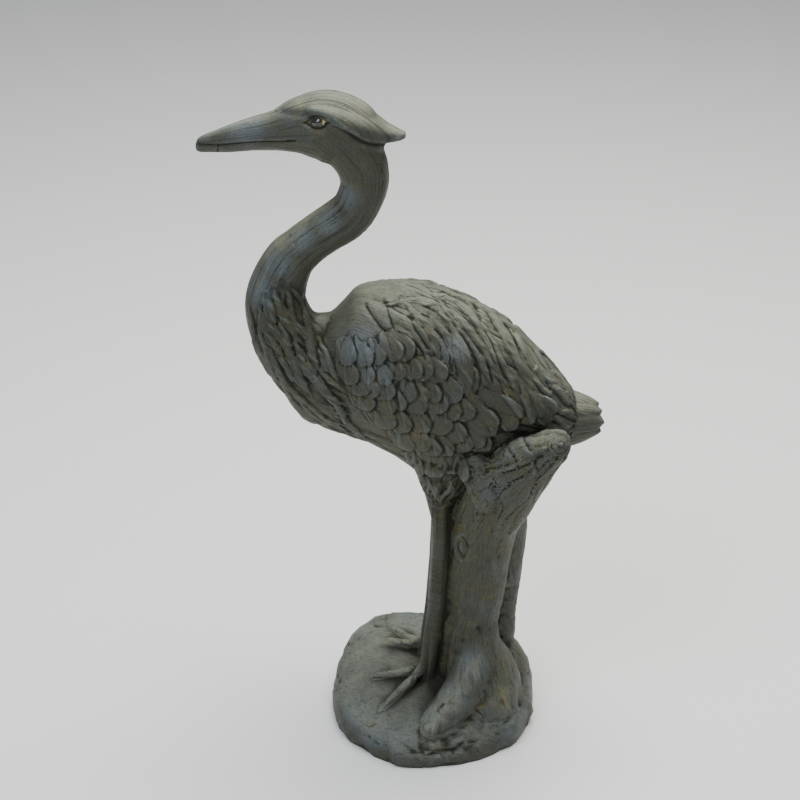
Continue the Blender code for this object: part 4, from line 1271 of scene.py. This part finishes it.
for form in forms + [clay, bare_form, feather_leaf, tail_leaf]:
    bpy.data.objects.remove(form)

# The finish
# A dark grey-green coat rubbed over the cast stone. It has worn to blue-grey where it stands
# proud, with a painted highlight there, and set patches carry a painted blue sheen. Its hollows
# hold ochre patina and black that is partly dirt and partly painted shade, its grooves and air
# holes hold painted shade, it takes an olive tint where the casting hides the sky, and it is
# dusted paler where it faces the sky, partly as a painted top light.
STONE = (0.046, 0.048, 0.035, 1)
BLUE_COAT_AND_SHEEN = (0.088, 0.104, 0.116, 1)
OCHRE = (0.130, 0.108, 0.042, 1)
WORN_AND_HIGHLIGHT = (0.130, 0.155, 0.155, 1)
SHADE_AND_GRIME = (0.006, 0.006, 0.003, 1)
DUST_AND_TOP_LIGHT = (0.220, 0.228, 0.165, 1)
GROUND_DUST_AND_TOP_LIGHT = (0.150, 0.168, 0.140, 1)
SKY_HIDDEN_OLIVE = (0.088, 0.082, 0.034, 1)
PUPIL = (0.012, 0.011, 0.008, 1)
AMBER_GLINT = (0.42, 0.30, 0.10, 1)
GLINT_SPAN = (4.5, 6.5)
HOLE_DEPTH = 0.0008
# Each stone's material: its name, region, dust with painted top light, share of ochre and of blue,
# the width, length and height of its strokes, the scale of its air holes and how many show, and how
# dark the painted shade in its grooves is.
COATS = [("feathered_stone", "bird", DUST_AND_TOP_LIGHT, 0.8, 0.3, (1.4, 34.0, 0.0018), 90.0, 0, 0.55),
         ("bill_and_leg_stone", "horn", DUST_AND_TOP_LIGHT, 0.4, 0.3, (26.0, 2.5, 0.0024), 60.0, 0, 0.6),
         ("bark_stone", "bark", DUST_AND_TOP_LIGHT, 0.95, 0.3, (2.0, 24.0, 0.0020), 70.0, 0.5, 0.5),
         ("rock_stone", "stone", GROUND_DUST_AND_TOP_LIGHT, 0.8, 0.4, (5.0, 7.0, 0.0022), 130.0, 1, 0.3)]
REGIONS = [("bird", 1), ("horn", 1), ("bark", 1), ("stone", 1), ("eye", 4)]


def blend_colour(tree, share, first, second):
    """The mix of two colours by a share."""
    return live(add(tree, "ShaderNodeMix", {0: share, 6: first, 7: second}, data_type="RGBA"))


def grain_noise(tree, place, scale, detail=4.0, rough=0.55):
    """Noise of a given scale at a place."""
    return live(add(tree, "ShaderNodeTexNoise", {"Vector": place, "Scale": scale,
                                                 "Detail": detail, "Roughness": rough}))


def own_place(tree):
    """Each point's place in its object."""
    return add(tree, "ShaderNodeTexCoord").outputs["Object"]


def stored(tree, name, output="Fac"):
    """A value stored on the casting's points."""
    return add(tree, "ShaderNodeAttribute", attribute_name=name).outputs[output]


def coat_and_painted_light_group():
    """Nodes for the coat's colour and roughness, with its weathering and its painted light and
    shade, shared by every part of the casting.
    """
    tree, ask, ends = new_tree(
        "weathered_coat", {"Color": ["Coat", "Rubbed", "Dirt", "Dust"],
                           "Float": ["Ochre Amount", "Blue Amount"]},
        {"Color": ["Colour"], "Float": ["Roughness"]}, "ShaderNodeTree")
    place = own_place(tree)
    hollow = stored(tree, "hollow")
    shelter = stored(tree, "shelter")
    up = parts_of(tree, add(tree, "ShaderNodeNewGeometry").outputs["Normal"])["Z"]
    broad = grain_noise(tree, place, 14.0, 3.0)
    patch = grain_noise(tree, place, 42.0, 5.0, 0.65)
    speck = grain_noise(tree, place, 420.0, 4.0, 0.7)
    # Painted blue sheen: set patches are tinted blue-grey to stand in for the cool light's
    # reflection on the coat.
    sheen_patches = times(tree, stored(tree, "bare_blue"), slope(tree, patch, 0.25, 0.6, 0.45, 0.9))
    blue = times(tree, slope(tree, broad, 0.5, 0.68), ask["Blue Amount"])
    colour = blend_colour(tree, calc(tree, "MAXIMUM", blue, sheen_patches), ask["Coat"], BLUE_COAT_AND_SHEEN)
    sunk = calc(tree, "MULTIPLY_ADD", slope(tree, hollow, -0.3, 0.4), 0.8, 0.25)
    ochre = times(tree, slope(tree, patch, 0.5, 0.72), ask["Ochre Amount"], sunk)
    colour = blend_colour(tree, ochre, colour, OCHRE)
    # An olive tint, lighter than the coat, where the casting hides more of the sky.
    sky_hidden_olive_share = times(tree, slope(tree, shelter, 0.35, 0.95),
                  slope(tree, broad, 0.3, 0.65, 0.35, 0.85), 0.6)
    colour = blend_colour(tree, sky_hidden_olive_share, colour, SKY_HIDDEN_OLIVE)
    # Faces that look up are made paler: partly dust, partly a painted top light.
    dust_and_top_light_share = times(tree, slope(tree, up, 0.2, 0.95), 0.6, slope(tree, shelter, 0.7, 0.15),
                  slope(tree, patch, 0.3, 0.7, 0.55, 1.0))
    colour = blend_colour(tree, dust_and_top_light_share, colour, ask["Dust"])
    # Raised places are made lighter and bluer: partly wear, partly a painted highlight.
    rubbed_and_highlight = times(tree, slope(tree, hollow, -0.15, -0.9), 0.4,
                   slope(tree, patch, 0.35, 0.6, 0.4, 1.0))
    colour = blend_colour(tree, rubbed_and_highlight, colour, ask["Rubbed"])
    # Hollows are darkened to near black: partly dirt, partly painted shade.
    hollow_shade = times(tree, slope(tree, hollow, 0.04, 0.75), 0.85)
    colour = blend_colour(tree, hollow_shade, colour, ask["Dirt"])
    value = slope(tree, speck, 0.3, 0.7, 0.8, 1.2)
    colour = live(add(tree, "ShaderNodeHueSaturation", {"Value": value, "Color": colour}))
    rough = calc(tree, "ADD", slope(tree, patch, 0.3, 0.7, 0.42, 0.6), times(tree, hollow_shade, 0.3))
    tree.links.new(colour, ends.inputs["Colour"])
    tree.links.new(rough, ends.inputs["Roughness"])
    return tree


def strokes_group():
    """Nodes for the height of fine tool strokes that run the way the surface was worked, and where
    their grooves take painted shade.
    """
    tree, ask, ends = new_tree("tool_strokes", {"Float": ["Width", "Length", "Height"]},
                               {"Float": ["Height", "Groove"]}, "ShaderNodeTree")
    way = parts_of(tree, stored(tree, "strokes", "Vector"))
    spot = vector(tree, calc(tree, "DIVIDE", way["X"], ask["Length"]),
                  calc(tree, "DIVIDE", way["Y"], ask["Width"]))
    stroke = grain_noise(tree, spot, 1.0, 3.0, 0.6)
    grit = grain_noise(tree, own_place(tree), 900.0, 3.0, 0.6)
    both = calc(tree, "MULTIPLY_ADD", grit, 0.25, stroke)
    tree.links.new(times(tree, both, ask["Height"]), ends.inputs["Height"])
    tree.links.new(slope(tree, stroke, 0.5, 0.32), ends.inputs["Groove"])
    return tree


def air_hole_group():
    """Nodes for the small round holes that air bubbles left in the casting, and where they take
    painted shade.
    """
    tree, ask, ends = new_tree("air_holes", {"Float": ["Scale", "Depth"]},
                               {"Float": ["Height", "Hole"]}, "ShaderNodeTree")
    cells = add(tree, "ShaderNodeTexVoronoi", {"Vector": own_place(tree), "Scale": ask["Scale"]})
    chance = add(tree, "ShaderNodeSeparateColor", {0: cells.outputs["Color"]})
    some = calc(tree, "GREATER_THAN", chance, 0.72)
    hole = times(tree, slope(tree, cells.outputs["Distance"], 0.16, 0.09), some)
    tree.links.new(times(tree, hole, times(tree, ask["Depth"], -1)), ends.inputs["Height"])
    tree.links.new(hole, ends.inputs["Hole"])
    return tree


weathered_coat = coat_and_painted_light_group()
tool_strokes = strokes_group()
air_holes = air_hole_group()


def coated(name, region, dust_and_top_light_colour, ochre, blue, stroke, hole_scale, holes_kept, groove_shade_strength):
    """One of the casting's materials, with the shared coat, strokes and air holes, and painted
    shade in their grooves and holes.
    """
    material = bpy.data.materials.get(name) or bpy.data.materials.new(name)
    material.use_nodes = True
    tree = material.node_tree
    finish = add(tree, "ShaderNodeGroup", {
        "Coat": STONE, "Rubbed": WORN_AND_HIGHLIGHT, "Dirt": SHADE_AND_GRIME, "Dust": dust_and_top_light_colour, "Ochre Amount": ochre,
        "Blue Amount": blue}, node_tree=weathered_coat).outputs
    strokes = add(tree, "ShaderNodeGroup", dict(zip(("Width", "Length", "Height"), stroke)),
                  node_tree=tool_strokes).outputs
    holes = add(tree, "ShaderNodeGroup", {"Scale": hole_scale, "Depth": HOLE_DEPTH * holes_kept},
                node_tree=air_holes).outputs
    own = slope(tree, stored(tree, region), 0.5, 0.95)
    height = calc(tree, "MULTIPLY_ADD", strokes["Height"], own, holes["Height"])
    bump = add(tree, "ShaderNodeBump", {"Height": height, "Distance": 1.0})
    # Painted shade: the grooves of the strokes are darkened.
    sunk = times(tree, strokes["Groove"], own, groove_shade_strength)
    colour = blend_colour(tree, sunk, finish["Colour"], SHADE_AND_GRIME)
    # Painted shade: the air holes are darkened inside.
    pits = times(tree, holes["Hole"], 0.8 * holes_kept)
    colour = blend_colour(tree, pits, colour, SHADE_AND_GRIME)
    shader = tree.nodes["Principled BSDF"]
    shader.inputs["Specular IOR Level"].default_value = 0.3
    for feed, label in ((colour, "Base Color"), (finish["Roughness"], "Roughness"),
                        (bump.outputs[0], "Normal")):
        tree.links.new(feed, shader.inputs[label])
    return material


def eye_enamel():
    """Dark glossy paint on the eyes, with a painted amber glint at the rear of each that stands in
    for light caught there.
    """
    material = bpy.data.materials.new("eye_enamel")
    material.use_nodes = True
    tree = material.node_tree
    shader = tree.nodes["Principled BSDF"]
    # Painted glint: the rear of each eye is amber, as if it were catching the light.
    rear = slope(tree, parts_of(tree, own_place(tree))["X"],
                 *((EYE[0] + ahead) * UNIT for ahead in GLINT_SPAN))
    tree.links.new(blend_colour(tree, rear, PUPIL, AMBER_GLINT), shader.inputs["Base Color"])
    shader.inputs["Roughness"].default_value = 0.16
    shader.inputs["Coat Weight"].default_value = 0.6
    return material


def material_of_faces(mesh):
    """Give each face the material of the region that its points lie in most."""
    regions = np.array([read(mesh.attributes[name].data, "value") * weight
                        for name, weight in REGIONS])
    corners = read(mesh.loops, "vertex_index", kind=np.int32).reshape(-1, 3)
    best = regions[:, corners].sum(axis=2).argmax(axis=0)
    mesh.polygons.foreach_set("material_index", best.astype(np.int32))


thinned.materials.clear()
for coat in COATS:
    thinned.materials.append(coated(*coat))
thinned.materials.append(eye_enamel())
material_of_faces(thinned)
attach(casting, "root")
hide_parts("heron_statue")

# The floor, the light and the camera
# A plain pale floor, soft studio light from above and the left, and the photograph's view.
FLOOR_SIZE = 14.0
LOOK_DOWN = 27.855
floor_mesh = bpy.data.meshes.new("floor")
floor_mesh.from_pydata([(-FLOOR_SIZE, -FLOOR_SIZE, 0), (FLOOR_SIZE, -FLOOR_SIZE, 0),
                        (FLOOR_SIZE, FLOOR_SIZE, 0), (-FLOOR_SIZE, FLOOR_SIZE, 0)], [],
                       [(0, 1, 2, 3)])
floor = put("floor", floor_mesh)
pale = bpy.data.materials.new("pale_floor")
pale.use_nodes = True
paint = pale.node_tree.nodes["Principled BSDF"].inputs
paint["Base Color"].default_value = (0.72, 0.72, 0.71, 1)
paint["Roughness"].default_value = 0.9
floor_mesh.materials.append(pale)

world = bpy.data.worlds.new("soft_room")
world.use_nodes = True
world.node_tree.nodes["Background"].inputs["Color"].default_value = (0.93, 0.96, 1.0, 1)
world.node_tree.nodes["Background"].inputs["Strength"].default_value = 0.36
bpy.context.scene.world = world


def soft_light(name, place, target, size, power, colour):
    """A square soft light that shines from a place towards a target."""
    lamp = bpy.data.lights.new(name, "AREA")
    lamp.size = size
    lamp.energy = power
    lamp.color = colour
    holder = put(name, lamp)
    holder.location = place
    holder.rotation_euler = (Vector(target) - Vector(place)).to_track_quat("-Z", "Y").to_euler()


soft_light("key", (-1.2, -1.4, 2.6), (0, 0, 0.4), 1.4, 46, (0.84, 0.92, 1.0))
soft_light("top", (0.35, 0.45, 2.7), (0, 0, 0.4), 1.8, 132, (1.0, 0.99, 0.95))

camera = put("camera", bpy.data.cameras.new("camera"))
camera.data.sensor_width = 36.0
camera.data.lens = 85.5
camera.location = (-0.0414, -1.93, 1.453)
camera.rotation_euler = (math.radians(90 - LOOK_DOWN), 0, 0)
bpy.context.scene.camera = camera
